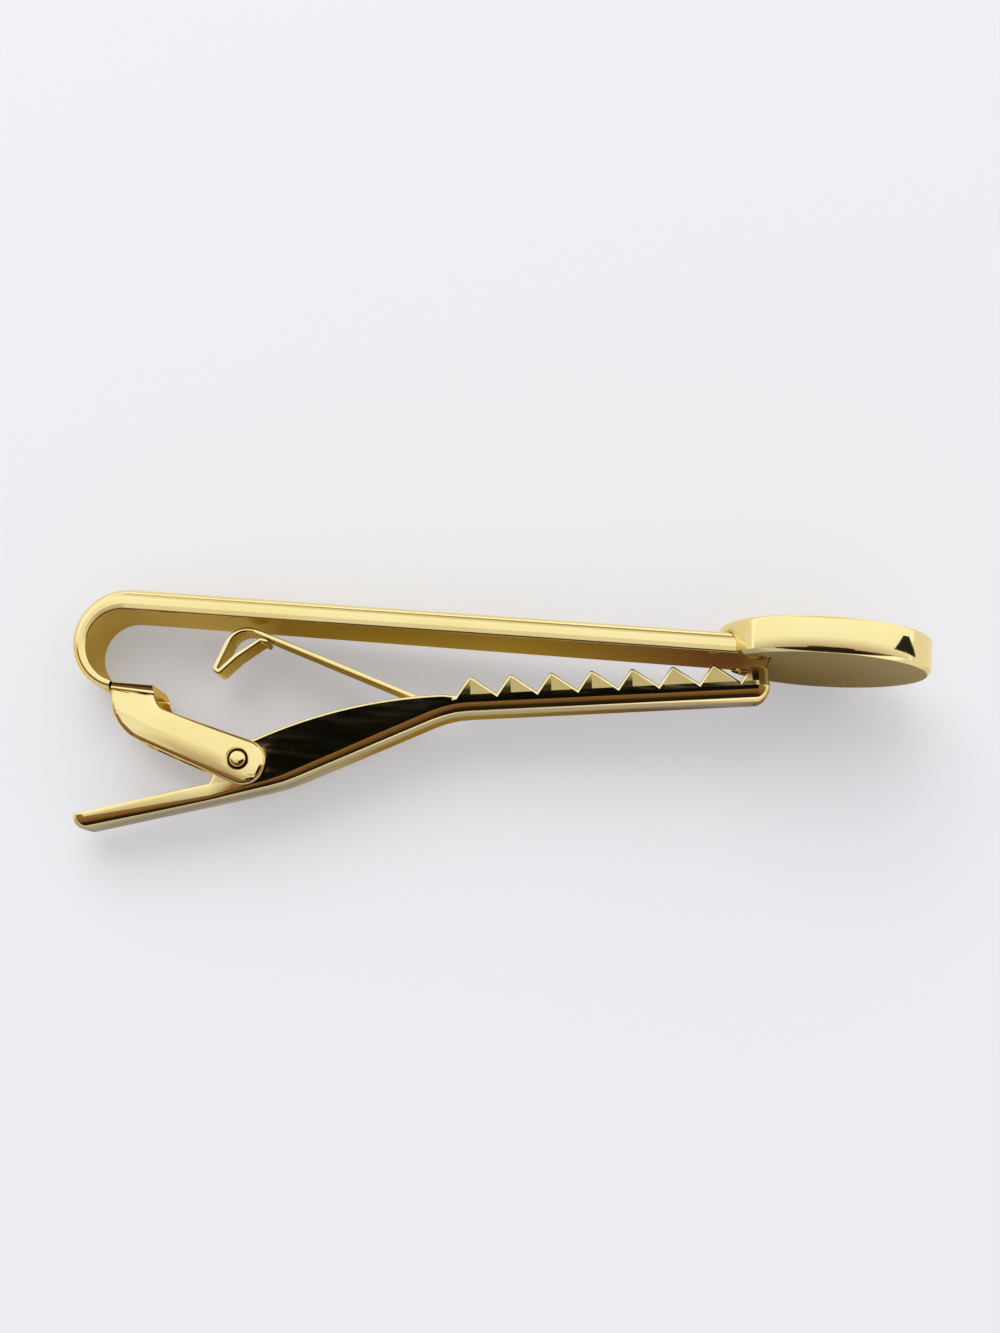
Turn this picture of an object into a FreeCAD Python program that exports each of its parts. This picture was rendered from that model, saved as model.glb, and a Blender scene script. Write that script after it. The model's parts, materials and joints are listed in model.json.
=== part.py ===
import FreeCAD, Part
import math
import os

import Sketcher

# A tie clip that lies on its side: X runs along the bar from the bend to the disc,
# Y points out of the bar's front, and Z is the width of the clip, pointing up.
# Every outline is drawn with X = 0 near the bend and Y = 0 on the bar's underside.
# Lengths are millimetres, and angles are degrees.
SIZES = {
    # Front bar: a strip with a rounded front and a flat underside
    "bar_length": "48.5",
    "bar_thick": "1.56",
    "bar_wide_at_disc": "7.6",
    "bar_wide_at_bend": "6.3",
    "bar_front_round": "1.1",
    "bar_edge_break": "0.07",
    # Bend at the left end, where the strip thins and turns back
    "bend_centre": "3.22",
    "bend_radius": "2.55",
    "bend_end_thick": "0.66",
    "bend_end_wide": "5.7",
    "tongue_wide": "3.0",
    "tongue_length": "1.1",
    "tongue_lap": "0.2",
    # Round disc on the other end of the bar
    "disc_diameter": "14.9",
    "disc_thick": "2.5",
    "disc_drop": "0.15",
    "disc_centre": "52.45",
    "disc_back_bevel": "0.2",
    "disc_front_round": "0.3",
    "disc_border": "0.9",
    "disc_field_depth": "0.2",
    "solder_gap": "0.02",
    # Pivot of the jaw
    "pivot_along": "12.22",
    "pivot_below": "9.85",
    "pin_diameter": "1.2",
    "pin_proud": "0.12",
    "pin_dome": "0.28",
    "pin_play": "0.04",
    "countersink": "0.23",
    # Bracket: a web with two cheeks folded down from it
    "bracket_sheet": "0.5",
    "web_start": "2.8",
    "web_end": "5.6",
    "cheek_over_pin": "1.52",
    "cheek_under_pin": "1.7",
    "cheek_past_pin": "1.96",
    "cheek_end_round": "1.58",
    "cheek_heel_round": "3.4",
    "cheek_throat_round": "1.6",
    "fold_round": "0.55",
    "cheek_edge_round": "0.14",
    "side_play": "0.07",
    # Jaw: a pressed tray with a finger tab, two ears and toothed walls
    "jaw_sheet": "0.45",
    "jaw_wide": "3.9",
    "knee_ahead": "3.32",
    "knee_below": "1.52",
    "tab_length": "15.2",
    "middle_length": "12.5",
    "tooth_part_length": "22.4",
    "knee_round": "12",
    "crown_round": "7",
    "tray_corner_round": "1.1",
    "tray_fold_round": "0.65",
    "rim_height": "1.3",
    "ear_over_pin": "1.45",
    "ear_behind_pin": "0.95",
    "ear_ahead_of_pin": "0.8",
    "ear_round": "0.9",
    "wall_swell": "0.75",
    "root_height": "1.5",
    "root_ahead": "0.5",
    "root_lap": "0.12",
    "tooth_height": "1.38",
    "tooth_pitch": "2.83",
    "tooth_lead": "1.0",
    "tooth_tip_round": "0.14",
    "tooth_set_in": "0.03",
    "end_tooth_lead": "0.7",
    "end_tooth_height": "0.85",
    # Leaf spring: a strip soldered to the floor of the jaw
    "spring_thick": "0.34",
    "spring_wide": "2.7",
    "foot_length": "9",
    "foot_bend_round": "1.5",
    "hump_gap": "0.32",
    "hump_behind_pin": "0.42",
    "hump_round": "1.5",
    "loop_length": "3.6",
    "loop_tip_wide": "0.36",
    "loop_tip_round": "0.18",
    "loop_back_length": "1.6",
    "loop_back_round": "1.5",
    "loop_end_gap": "0.06",
    "loop_end_ahead": "0.6",
    # How far cutting shapes reach past what they cut
    "cut_past": "1",
}
ANGLES = {
    "bend_turn": "162",
    "tongue_root_turn": "4",
    "cheek_top_fall": "15",
    "cheek_low_fall": "19.3",
    "cheek_throat_lean": "23",
    "wall_flare": "5",
    "tab_slope": "16.9",
    "middle_slope": "27.4",
    "tooth_slope": "7.2",
    "ear_back_lean": "73",
    "tooth_lean": "5",
    "spring_fall": "18.24",
    "loop_lean": "70",
    "loop_tip_lean": "34",
    "loop_back_lean": "47.5",
}
TOOTH_COUNT = 7
# Sizes that follow from others: the cheeks stand clear of the flared jaw between them.
FOLLOWING = {
    "ear_height": "=(knee_below + knee_ahead * tan(tab_slope) + ear_over_pin) * cos(tab_slope)",
    "bracket_gap": "=jaw_wide + 2 * ear_height * tan(wall_flare) + 2 * side_play",
    "bracket_wide": "=bracket_gap + 2 * bracket_sheet",
}

doc = FreeCAD.newDocument("tie_clip")
sheet = doc.addObject("Spreadsheet::Sheet", "Sizes")
for row, (name, content) in enumerate((SIZES | ANGLES | FOLLOWING).items(), 1):
    sheet.set(f"A{row}", name)
    sheet.set(f"B{row}", content)
    sheet.setAlias(f"B{row}", name)
doc.recompute()


def size(name):
    return float(getattr(sheet, name))


def vector(x, y, z=0.0):
    return FreeCAD.Vector(x, y, z)


def heading(degrees):
    return vector(math.cos(math.radians(degrees)), math.sin(math.radians(degrees)))


def crossing(start, way, other_start, other_way):
    """The point where two lines meet, each given by a point and a direction."""
    across = way.x * other_way.y - way.y * other_way.x
    apart = other_start - start
    along = (apart.x * other_way.y - apart.y * other_way.x) / across
    return start + way * along


def rounded(corners, closed):
    """Lines and arcs through corners, each given as (point, radius)."""
    count = len(corners)
    starts = []
    ends = []
    arcs = []
    for i, (point, radius) in enumerate(corners):
        if radius == 0 or (not closed and i in (0, count - 1)):
            starts.append(point)
            ends.append(point)
            arcs.append(None)
            continue
        back = (corners[i - 1][0] - point).normalize()
        ahead = (corners[(i + 1) % count][0] - point).normalize()
        half = back.getAngle(ahead) / 2
        reach = radius / math.tan(half)
        middle = point + (back + ahead).normalize() * (radius / math.sin(half) - radius)
        starts.append(point + back * reach)
        ends.append(point + ahead * reach)
        arcs.append(Part.Arc(starts[i], middle, ends[i]))
    pieces = []
    for i in range(count):
        if arcs[i]:
            pieces.append(arcs[i])
        if i < count - 1 or closed:
            pieces.append(Part.LineSegment(ends[i], starts[(i + 1) % count]))
    return pieces


def strip_corners(path, thick):
    """The outline of a strip of even thickness along a path of (point, radius) corners."""
    half = thick / 2
    left = []
    right = []
    for i, (point, radius) in enumerate(path):
        before = path[max(i, 1)][0] - path[max(i, 1) - 1][0]
        after = path[min(i + 1, len(path) - 1)][0] - path[min(i, len(path) - 2)][0]
        before.normalize()
        after.normalize()
        normal_before = vector(-before.y, before.x)
        normal_after = vector(-after.y, after.x)
        shift = (normal_before + normal_after) * (half / (1 + normal_before.dot(normal_after)))
        turn = math.copysign(half, before.x * after.y - before.y * after.x)
        left.append((point + shift, radius - turn if radius else 0))
        right.append((point - shift, radius + turn if radius else 0))
    return left + right[::-1]


def new_body(name):
    body = doc.addObject("PartDesign::Body", name)
    body.Label = name
    return body


def origin_plane(body, role):
    return next(item for item in body.Origin.OriginFeatures if item.Role == role)


def new_sketch(body, name, role, offset=None):
    sketch = body.newObject("Sketcher::SketchObject", name)
    sketch.AttachmentSupport = [(origin_plane(body, role), "")]
    sketch.MapMode = "FlatFace"
    if offset:
        sketch.AttachmentOffset = offset
    return sketch


def draw(sketch, pieces):
    for piece in pieces:
        sketch.addGeometry(piece, False)


def draw_circle(sketch, along, up, radius):
    """A circle held by three sizes, each an expression."""
    circle = sketch.addGeometry(Part.Circle(vector(0, 0), vector(0, 0, 1), 1.0), False)
    for kind, expression in (("DistanceX", along), ("DistanceY", up)):
        held = sketch.addConstraint(Sketcher.Constraint(kind, -1, 1, circle, 3, 1.0))
        sketch.setExpression(f"Constraints[{held}]", expression)
    held = sketch.addConstraint(Sketcher.Constraint("Radius", circle, 1.0))
    sketch.setExpression(f"Constraints[{held}]", radius)


def feature(body, kind, name, profile):
    made = body.newObject(f"PartDesign::{kind}", name)
    made.Profile = profile
    return made


def across_middle(made, expression):
    """Gives a pad or pocket its whole length, half to each side of its sketch."""
    made.SideType = "Symmetric"
    made.setExpression("Length", expression)
    doc.recompute()
    return made


def edges_where(shape, test):
    return [f"Edge{i}" for i, edge in enumerate(shape.Edges, 1) if test(edge)]


def dress(body, kind, name, expression, test):
    """Rounds or bevels the edges of the body's last feature that pass the test."""
    base = body.Tip
    made = body.newObject(f"PartDesign::{kind}", name)
    made.Base = (base, edges_where(base.Shape, test))
    made.setExpression("Size" if kind == "Chamfer" else "Radius", expression)
    doc.recompute()
    return made


def lies_at(edge, axis, value):
    """Whether the whole edge lies at one value of a coordinate."""
    box = edge.BoundBox
    low, high = {
        "x": (box.XMin, box.XMax),
        "y": (box.YMin, box.YMax),
        "z": (box.ZMin, box.ZMax),
    }[axis]
    return abs(low - value) < 1e-3 and abs(high - value) < 1e-3


PIVOT = vector(size("pivot_along"), -size("pivot_below"))


# Front bar
bar = new_body("front_bar")


def bar_section(wide, thick, grown=0.0, below=0.0):
    """The bar's cross section: across the thickness first, then across the width."""
    half = wide / 2 + grown
    front = thick + grown
    radius = size("bar_front_round") * thick / size("bar_thick") + grown
    edge_break = 0.0 if below else size("bar_edge_break") * thick / size("bar_thick")
    corners = []
    for side in (1, -1):
        low = [(vector(-below, side * (half - edge_break)), 0)]
        if edge_break:
            low.append((vector(edge_break, side * half), 0))
        low.append((vector(front, side * half), radius))
        corners += low[::side]
    return rounded(corners, True)


def upright(along):
    """The place of a sketch that stands across the bar at a distance along it."""
    return FreeCAD.Placement(vector(0, 0, along), FreeCAD.Rotation())


bar_start = new_sketch(bar, "bar_start", "YZ_Plane", upright(size("bend_centre")))
draw(bar_start, bar_section(size("bar_wide_at_bend"), size("bar_thick")))
bar_finish = new_sketch(bar, "bar_finish", "YZ_Plane", upright(size("bar_length")))
draw(bar_finish, bar_section(size("bar_wide_at_disc"), size("bar_thick")))
doc.recompute()
straight = feature(bar, "AdditiveLoft", "straight", bar_start)
straight.Sections = [bar_finish]
straight.Ruled = True
doc.recompute()

bend_middle = vector(size("bend_centre"), -size("bend_radius"))
bend_end_angle = 90 + size("bend_turn")
bend_end = bend_middle + heading(bend_end_angle) * size("bend_radius")
bend_path = new_sketch(bar, "bend_path", "XY_Plane")
draw(
    bend_path,
    [
        Part.Arc(
            bend_middle + vector(0, size("bend_radius")),
            bend_middle + heading(90 + size("bend_turn") / 2) * size("bend_radius"),
            bend_end,
        )
    ],
)
bend_end_turn = FreeCAD.Rotation(vector(0, 1, 0), size("bend_turn"))
bend_end_place = FreeCAD.Placement(vector(bend_end.y, 0, bend_end.x), bend_end_turn)
bend_finish = new_sketch(bar, "bend_finish", "YZ_Plane", bend_end_place)
draw(bend_finish, bar_section(size("bend_end_wide"), size("bend_end_thick")))
doc.recompute()
bend = feature(bar, "AdditivePipe", "bend", bar_start)
bend.Spine = (bend_path, ["Edge1"])
bend.Sections = [bend_finish]
bend.Transformation = "Multisection"
doc.recompute()

tongue_turn = bend_middle + vector(0, -size("bend_radius"))
tongue_tip = tongue_turn + vector(size("tongue_length"), 0)
tongue_root_angle = bend_end_angle - size("tongue_root_turn")
tongue_middle_angle = (tongue_root_angle + 270) / 2
sheet_down = vector(0, -size("bracket_sheet"))
outer_radius = size("bend_radius") + size("bracket_sheet")
tongue_outline = new_sketch(bar, "tongue_outline", "XY_Plane")
draw(
    tongue_outline,
    [
        Part.Arc(
            bend_middle + heading(tongue_root_angle) * size("bend_radius"),
            bend_middle + heading(tongue_middle_angle) * size("bend_radius"),
            tongue_turn,
        ),
        Part.LineSegment(tongue_turn, tongue_tip),
        Part.LineSegment(tongue_tip, tongue_tip + sheet_down),
        Part.LineSegment(tongue_tip + sheet_down, tongue_turn + sheet_down),
        Part.Arc(
            tongue_turn + sheet_down,
            bend_middle + heading(tongue_middle_angle) * outer_radius,
            bend_middle + heading(tongue_root_angle) * outer_radius,
        ),
        Part.LineSegment(
            bend_middle + heading(tongue_root_angle) * outer_radius,
            bend_middle + heading(tongue_root_angle) * size("bend_radius"),
        ),
    ],
)
doc.recompute()
across_middle(feature(bar, "Pad", "tongue", tongue_outline), "Sizes.tongue_wide")


# Hinge bracket
bracket = new_body("hinge_bracket")
web_top = -2 * size("bend_radius")
top_way = heading(-size("cheek_top_fall"))
low_way = heading(-size("cheek_low_fall"))
end_way = heading(-(size("cheek_top_fall") + size("cheek_low_fall")) / 2)
top_start = PIVOT + vector(-top_way.y, top_way.x) * size("cheek_over_pin")
low_start = PIVOT - vector(-low_way.y, low_way.x) * size("cheek_under_pin")
end_start = PIVOT + end_way * size("cheek_past_pin")
end_across = vector(-end_way.y, end_way.x)
heel_start = vector(size("web_start"), web_top)
web_corner = vector(size("web_end"), web_top)
throat_way = heading(size("cheek_throat_lean") - 90)
cheek_outline = new_sketch(bracket, "cheek_outline", "XY_Plane")
draw(
    cheek_outline,
    rounded(
        [
            (heel_start, 0),
            (web_corner, 0),
            (crossing(web_corner, throat_way, top_start, top_way), size("cheek_throat_round")),
            (crossing(top_start, top_way, end_start, end_across), size("cheek_end_round")),
            (crossing(low_start, low_way, end_start, end_across), size("cheek_end_round")),
            (crossing(low_start, low_way, heel_start, vector(0, 1)), size("cheek_heel_round")),
        ],
        True,
    ),
)
doc.recompute()
across_middle(feature(bracket, "Pad", "cheeks", cheek_outline), "Sizes.bracket_wide")
inside = new_sketch(bracket, "inside", "XY_Plane")
inside_top = web_top - size("bracket_sheet")
inside_low = 2 * PIVOT.y - web_top
inside_end = 2 * PIVOT.x
draw(
    inside,
    rounded(
        [
            (vector(0, inside_top), 0),
            (vector(inside_end, inside_top), 0),
            (vector(inside_end, inside_low), 0),
            (vector(0, inside_low), 0),
        ],
        True,
    ),
)
doc.recompute()
across_middle(feature(bracket, "Pocket", "hollow", inside), "Sizes.bracket_gap")
notch = new_sketch(bracket, "notch", "XY_Plane")
notch_end = tongue_tip.x + size("solder_gap")
notch_top = web_top + size("cut_past")
notch_low = inside_top - size("tongue_lap")
draw(
    notch,
    rounded(
        [
            (vector(0, notch_top), 0),
            (vector(notch_end, notch_top), 0),
            (vector(notch_end, notch_low), 0),
            (vector(0, notch_low), 0),
        ],
        True,
    ),
)
doc.recompute()
across_middle(feature(bracket, "Pocket", "tongue_notch", notch), "Sizes.tongue_wide + 2 * Sizes.solder_gap")
side = size("bracket_wide") / 2
dress(
    bracket,
    "Fillet",
    "folds",
    "Sizes.fold_round",
    lambda edge: lies_at(edge, "y", web_top) and (lies_at(edge, "z", side) or lies_at(edge, "z", -side)),
)
dress(
    bracket,
    "Fillet",
    "soft_edges",
    "Sizes.cheek_edge_round",
    lambda edge: (lies_at(edge, "z", side) or lies_at(edge, "z", -side))
    and not lies_at(edge, "y", web_top - size("fold_round")),
)
pin_hole = new_sketch(bracket, "pin_hole", "XY_Plane")
draw_circle(pin_hole, "Sizes.pivot_along", "-Sizes.pivot_below", "Sizes.pin_diameter / 2")
doc.recompute()
across_middle(feature(bracket, "Pocket", "pin_holes", pin_hole), "2 * Sizes.bracket_wide")
dress(
    bracket,
    "Chamfer",
    "countersinks",
    "Sizes.countersink",
    lambda edge: edge.Curve.TypeId == "Part::GeomCircle"
    and abs(edge.Curve.Radius - size("pin_diameter") / 2) < 1e-6
    and (lies_at(edge, "z", side) or lies_at(edge, "z", -side)),
)


# Pivot pin
pin = new_body("pivot_pin")
pin_half = new_sketch(
    pin,
    "pin_half",
    "XZ_Plane",
    FreeCAD.Placement(vector(PIVOT.x, 0, -PIVOT.y), FreeCAD.Rotation()),
)
pin_radius = size("pin_diameter") / 2
pin_end = side + size("pin_proud")
dome_start = pin_end - size("pin_dome")
dome_radius = (pin_radius**2 + size("pin_dome") ** 2) / (2 * size("pin_dome"))
dome_out = pin_radius / 2
dome_up = pin_end - dome_radius + math.sqrt(dome_radius**2 - dome_out**2)
draw(
    pin_half,
    [
        Part.LineSegment(vector(0, -pin_end), vector(0, pin_end)),
        Part.Arc(vector(0, pin_end), vector(dome_out, dome_up), vector(pin_radius, dome_start)),
        Part.LineSegment(vector(pin_radius, dome_start), vector(pin_radius, -dome_start)),
        Part.Arc(vector(pin_radius, -dome_start), vector(dome_out, -dome_up), vector(0, -pin_end)),
    ],
)
doc.recompute()
pin_turned = feature(pin, "Revolution", "pin_turned", pin_half)
pin_turned.ReferenceAxis = (pin_half, ["V_Axis"])
pin_turned.Angle = 360
doc.recompute()


# Disc
emblem_disc = new_body("emblem_disc")
disc_back = -size("disc_drop")
front_y = disc_back + size("disc_thick")


def facing(height):
    """The place of a sketch that lies across the disc's axis at a height."""
    return FreeCAD.Placement(vector(0, 0, -height), FreeCAD.Rotation())


disc_circle = new_sketch(emblem_disc, "disc_circle", "XZ_Plane", facing(disc_back))
draw_circle(disc_circle, "Sizes.disc_centre", "0", "Sizes.disc_diameter / 2")
doc.recompute()
blank = feature(emblem_disc, "Pad", "blank", disc_circle)
blank.Reversed = True
blank.setExpression("Length", "Sizes.disc_thick")
doc.recompute()
dress(
    emblem_disc,
    "Chamfer",
    "back_bevel",
    "Sizes.disc_back_bevel",
    lambda edge: lies_at(edge, "y", disc_back),
)
field_circle = new_sketch(emblem_disc, "field_circle", "XZ_Plane", facing(front_y))
draw_circle(field_circle, "Sizes.disc_centre", "0", "Sizes.disc_diameter / 2 - Sizes.disc_border")
doc.recompute()
field = feature(emblem_disc, "Pocket", "field", field_circle)
rim_middle = (size("disc_diameter") - size("disc_border")) / 2
field.Reversed = True
field.setExpression("Length", "Sizes.disc_field_depth")
doc.recompute()
dress(
    emblem_disc,
    "Fillet",
    "front_edge",
    "Sizes.disc_front_round",
    lambda edge: lies_at(edge, "y", front_y) and edge.BoundBox.ZMax > rim_middle,
)
slot_end = upright(size("bar_length") + size("solder_gap"))
slot_section = new_sketch(emblem_disc, "slot_section", "YZ_Plane", slot_end)
draw(
    slot_section,
    bar_section(size("bar_wide_at_disc"), size("bar_thick"), size("solder_gap"), size("cut_past")),
)
doc.recompute()
slot = feature(emblem_disc, "Pocket", "slot", slot_section)
slot.Type = "ThroughAll"
doc.recompute()


# Jaw
jaw = new_body("jaw")
flare = math.tan(math.radians(size("wall_flare")))
tray_height = size("ear_height") + size("cut_past")
tab_way = heading(size("tab_slope"))
middle_way = heading(size("middle_slope"))
tooth_way = heading(size("tooth_slope"))
knee = PIVOT + vector(size("knee_ahead"), -size("knee_below"))
crown = knee + middle_way * size("middle_length")
tab_end = knee - tab_way * size("tab_length")
jaw_end = crown + tooth_way * size("tooth_part_length")


def above(point, way, height):
    """The point moved square to a direction, towards the bar."""
    return point + vector(-way.y, way.x) * height


def floor_path(inset):
    """The middle line of the jaw's underside, moved into the sheet by an inset."""
    corners = [
        (above(tab_end + tab_way * inset, tab_way, inset), 0),
        (crossing(above(knee, tab_way, inset), tab_way, above(knee, middle_way, inset), middle_way), 0),
        (crossing(above(crown, middle_way, inset), middle_way, above(crown, tooth_way, inset), tooth_way), 0),
        (above(jaw_end - tooth_way * inset, tooth_way, inset), 0),
    ]
    corners[1] = (corners[1][0], size("knee_round") - inset)
    corners[2] = (corners[2][0], size("crown_round") + inset)
    return rounded(corners, False)


def tray_sweep(kind, name, inset):
    """Adds or takes away a flared block along the jaw, and returns its path."""
    pieces = floor_path(inset)
    path = new_sketch(jaw, f"{name}_path", "XY_Plane")
    draw(path, pieces)
    start = pieces[0].StartPoint
    section = new_sketch(
        jaw,
        f"{name}_section",
        "YZ_Plane",
        FreeCAD.Placement(vector(start.y, 0, start.x), FreeCAD.Rotation(vector(0, 1, 0), size("tab_slope"))),
    )
    half = size("jaw_wide") / 2 + inset * flare - inset / math.cos(math.radians(size("wall_flare")))
    top_half = half + tray_height * flare
    draw(
        section,
        rounded(
            [
                (vector(0, -half), 0),
                (vector(0, half), 0),
                (vector(tray_height, top_half), 0),
                (vector(tray_height, -top_half), 0),
            ],
            True,
        ),
    )
    doc.recompute()
    sweep = feature(jaw, kind, name, section)
    sweep.Spine = (path, [f"Edge{i}" for i in range(1, len(pieces) + 1)])
    doc.recompute()
    return path.Shape


def in_plan(edge, path):
    """Whether the edge runs along the path or crosses its end, seen along Z."""
    ends = (edge.FirstParameter, edge.LastParameter, (edge.FirstParameter + edge.LastParameter) / 2)
    for parameter in ends:
        point = edge.valueAt(parameter)
        if path.distToShape(Part.Vertex(point.x, point.y, 0))[0] > 2e-3:
            return False
    return True


def upright_at_end(edge, path):
    """Whether the edge stands on the path's end and runs square to it."""
    if len(edge.Vertexes) < 2 or abs(edge.Vertexes[0].Z - edge.Vertexes[1].Z) > tray_height * flare + 0.01:
        return False
    on_path = path.Vertexes[0].Point, path.Vertexes[-1].Point
    for point, way in zip(on_path, (tab_way, tooth_way)):
        if all(abs((vertex.Point - point).dot(way)) < 1e-3 for vertex in edge.Vertexes):
            return True
    return False


outer_path = tray_sweep("AdditivePipe", "tray", 0.0)
dress(jaw, "Fillet", "tray_corners", "Sizes.tray_corner_round", lambda edge: upright_at_end(edge, outer_path))
dress(jaw, "Fillet", "tray_folds", "Sizes.tray_fold_round", lambda edge: in_plan(edge, outer_path))
inner_path = tray_sweep("SubtractivePipe", "tray_hollow", size("jaw_sheet"))
dress(
    jaw,
    "Fillet",
    "hollow_corners",
    "Sizes.tray_corner_round - Sizes.jaw_sheet",
    lambda edge: upright_at_end(edge, inner_path),
)
dress(
    jaw,
    "Fillet",
    "hollow_folds",
    "Sizes.tray_fold_round - Sizes.jaw_sheet",
    lambda edge: in_plan(edge, inner_path),
)


# The tray's edge, cut along the tab's rim, the ears, the walls and the roots of the teeth
rim_start = above(tab_end - tab_way * size("tab_length"), tab_way, size("rim_height"))
ear_back = PIVOT + vector(-size("ear_behind_pin"), size("ear_over_pin"))
ear_front = PIVOT + vector(size("ear_ahead_of_pin"), size("ear_over_pin"))
first_root = above(crown, tooth_way, size("root_height")) + tooth_way * size("root_ahead")
last_root = first_root + tooth_way * (TOOTH_COUNT * size("tooth_pitch"))
end_tooth_top = above(last_root, tooth_way, size("end_tooth_height")) + tooth_way * size("end_tooth_lead")
end_top = end_tooth_top + tooth_way * size("tab_length")
wall_way = (first_root - ear_front).normalize()
wall_middle = above((ear_front + first_root) * 0.5, wall_way, size("wall_swell"))
clear_above = size("bar_thick") + tray_height
trim_outline = new_sketch(jaw, "trim_outline", "XY_Plane")
draw(
    trim_outline,
    rounded(
        [
            (rim_start, 0),
            (crossing(rim_start, tab_way, ear_back, heading(size("ear_back_lean"))), size("ear_round") / 2),
            (ear_back, size("ear_round")),
            (ear_front, 0),
        ],
        False,
    )
    + [Part.Arc(ear_front, wall_middle, first_root)]
    + rounded(
        [
            (first_root, 0),
            (last_root, size("tooth_tip_round")),
            (end_tooth_top, size("tooth_tip_round")),
            (end_top, 0),
            (vector(end_top.x, clear_above), 0),
            (vector(rim_start.x, clear_above), 0),
            (rim_start, 0),
        ],
        False,
    ),
)
doc.recompute()
across_middle(feature(jaw, "Pocket", "trimmed", trim_outline), "4 * Sizes.jaw_wide")

# Teeth, bent in a little from the flared walls
lean = math.radians(size("tooth_lean"))
wall_up = vector(-tooth_way.y, tooth_way.x)
tooth_up = wall_up * math.cos(lean) + vector(0, 0, -math.sin(lean))
tooth_out = wall_up * math.sin(lean) + vector(0, 0, math.cos(lean))
wall_out = size("jaw_wide") / 2 + size("root_height") * flare
tooth_place = first_root + vector(0, 0, wall_out - size("tooth_set_in"))
tooth_row = new_sketch(
    jaw,
    "tooth_row",
    "XY_Plane",
    FreeCAD.Placement(tooth_place, FreeCAD.Rotation(tooth_way, tooth_up, tooth_out, "XYZ")),
)
root_level = -size("root_lap")
buried = root_level - size("jaw_sheet") / 2
row_length = TOOTH_COUNT * size("tooth_pitch")
saw = [(vector(row_length, buried), 0), (vector(0, buried), 0)]
for i in range(TOOTH_COUNT):
    root_along = i * size("tooth_pitch")
    saw.append((vector(root_along, root_level), 0))
    saw.append(
        (vector(root_along + size("tooth_lead"), root_level + size("tooth_height")), size("tooth_tip_round"))
    )
saw.append((vector(row_length, root_level), 0))
draw(tooth_row, rounded(saw, True))
doc.recompute()
teeth = feature(jaw, "Pad", "teeth", tooth_row)
teeth.Reversed = True
teeth.setExpression("Length", "Sizes.jaw_sheet")
doc.recompute()
far_teeth = jaw.newObject("PartDesign::Mirrored", "far_teeth")
far_teeth.Originals = [teeth]
far_teeth.MirrorPlane = (origin_plane(jaw, "XY_Plane"), [""])
jaw.Tip = far_teeth
doc.recompute()
ear_hole = new_sketch(jaw, "ear_hole", "XY_Plane")
draw_circle(ear_hole, "Sizes.pivot_along", "-Sizes.pivot_below", "Sizes.pin_diameter / 2 + Sizes.pin_play")
doc.recompute()
across_middle(feature(jaw, "Pocket", "ear_holes", ear_hole), "4 * Sizes.jaw_wide")


# Leaf spring
spring = new_body("leaf_spring")
half_strip = size("spring_thick") / 2
arm_way = heading(180 - size("spring_fall"))
leg_way = heading(180 + size("loop_lean"))
hump_middle = vector(PIVOT.x - size("hump_behind_pin"), -size("hump_gap") - half_strip - size("hump_round"))
arm_start = hump_middle + vector(arm_way.y, -arm_way.x) * size("hump_round")
leg_start = hump_middle + vector(leg_way.y, -leg_way.x) * size("hump_round")
foot_start = above(crown, tooth_way, size("jaw_sheet") + half_strip)
hump_corner = crossing(arm_start, arm_way, leg_start, leg_way)
foot_corner = crossing(arm_start, arm_way, foot_start, tooth_way)
loop_tip = hump_corner + leg_way * size("loop_length")
loop_turn = loop_tip + heading(-size("loop_tip_lean")) * size("loop_tip_wide")
loop_back = loop_turn + heading(size("loop_back_lean")) * size("loop_back_length")
under_arm = vector(-arm_way.y, arm_way.x) * (size("spring_thick") + size("loop_end_gap"))
loop_end = arm_start + under_arm - arm_way * size("loop_end_ahead")
spring_path = [
    (foot_corner + tooth_way * size("foot_length"), 0),
    (foot_corner, size("foot_bend_round")),
    (hump_corner, size("hump_round")),
    (loop_tip, size("loop_tip_round")),
    (loop_turn, size("loop_tip_round")),
    (loop_back, size("loop_back_round")),
    (loop_end, 0),
]
strip_outline = new_sketch(spring, "strip_outline", "XY_Plane")
draw(strip_outline, rounded(strip_corners(spring_path, size("spring_thick")), True))
doc.recompute()
across_middle(feature(spring, "Pad", "strip", strip_outline), "Sizes.spring_wide")


# The origin goes to the middle of the clip's box, at the level it lies on.
nodes = [bar, emblem_disc, bracket, pin, jaw, spring]
for item in doc.Objects:
    if "Invalid" in item.State or "Error" in item.State:
        raise RuntimeError(f"{item.Name} did not build")
for node in nodes:
    if node.Shape.isNull() or not node.Shape.isValid() or len(node.Shape.Solids) != 1:
        raise RuntimeError(f"{node.Label} is not one sound solid")
whole = Part.Compound([node.Shape for node in nodes]).optimalBoundingBox(False, False)
to_origin = vector(-(whole.XMin + whole.XMax) / 2, -(whole.YMin + whole.YMax) / 2, -whole.ZMin)
os.makedirs("parts", exist_ok=True)
for node in nodes:
    node.Placement = FreeCAD.Placement(to_origin, FreeCAD.Rotation())
doc.recompute()
for node in nodes:
    node.Shape.exportStep(f"parts/{node.Label}.step")
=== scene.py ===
import json
import math

import bmesh
import bpy
from bpy.props import FloatProperty, FloatVectorProperty, IntProperty, PointerProperty
from bpy.types import Operator, Panel, PropertyGroup
from mathutils import Matrix, Vector
from mathutils.geometry import intersect_point_line


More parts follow.
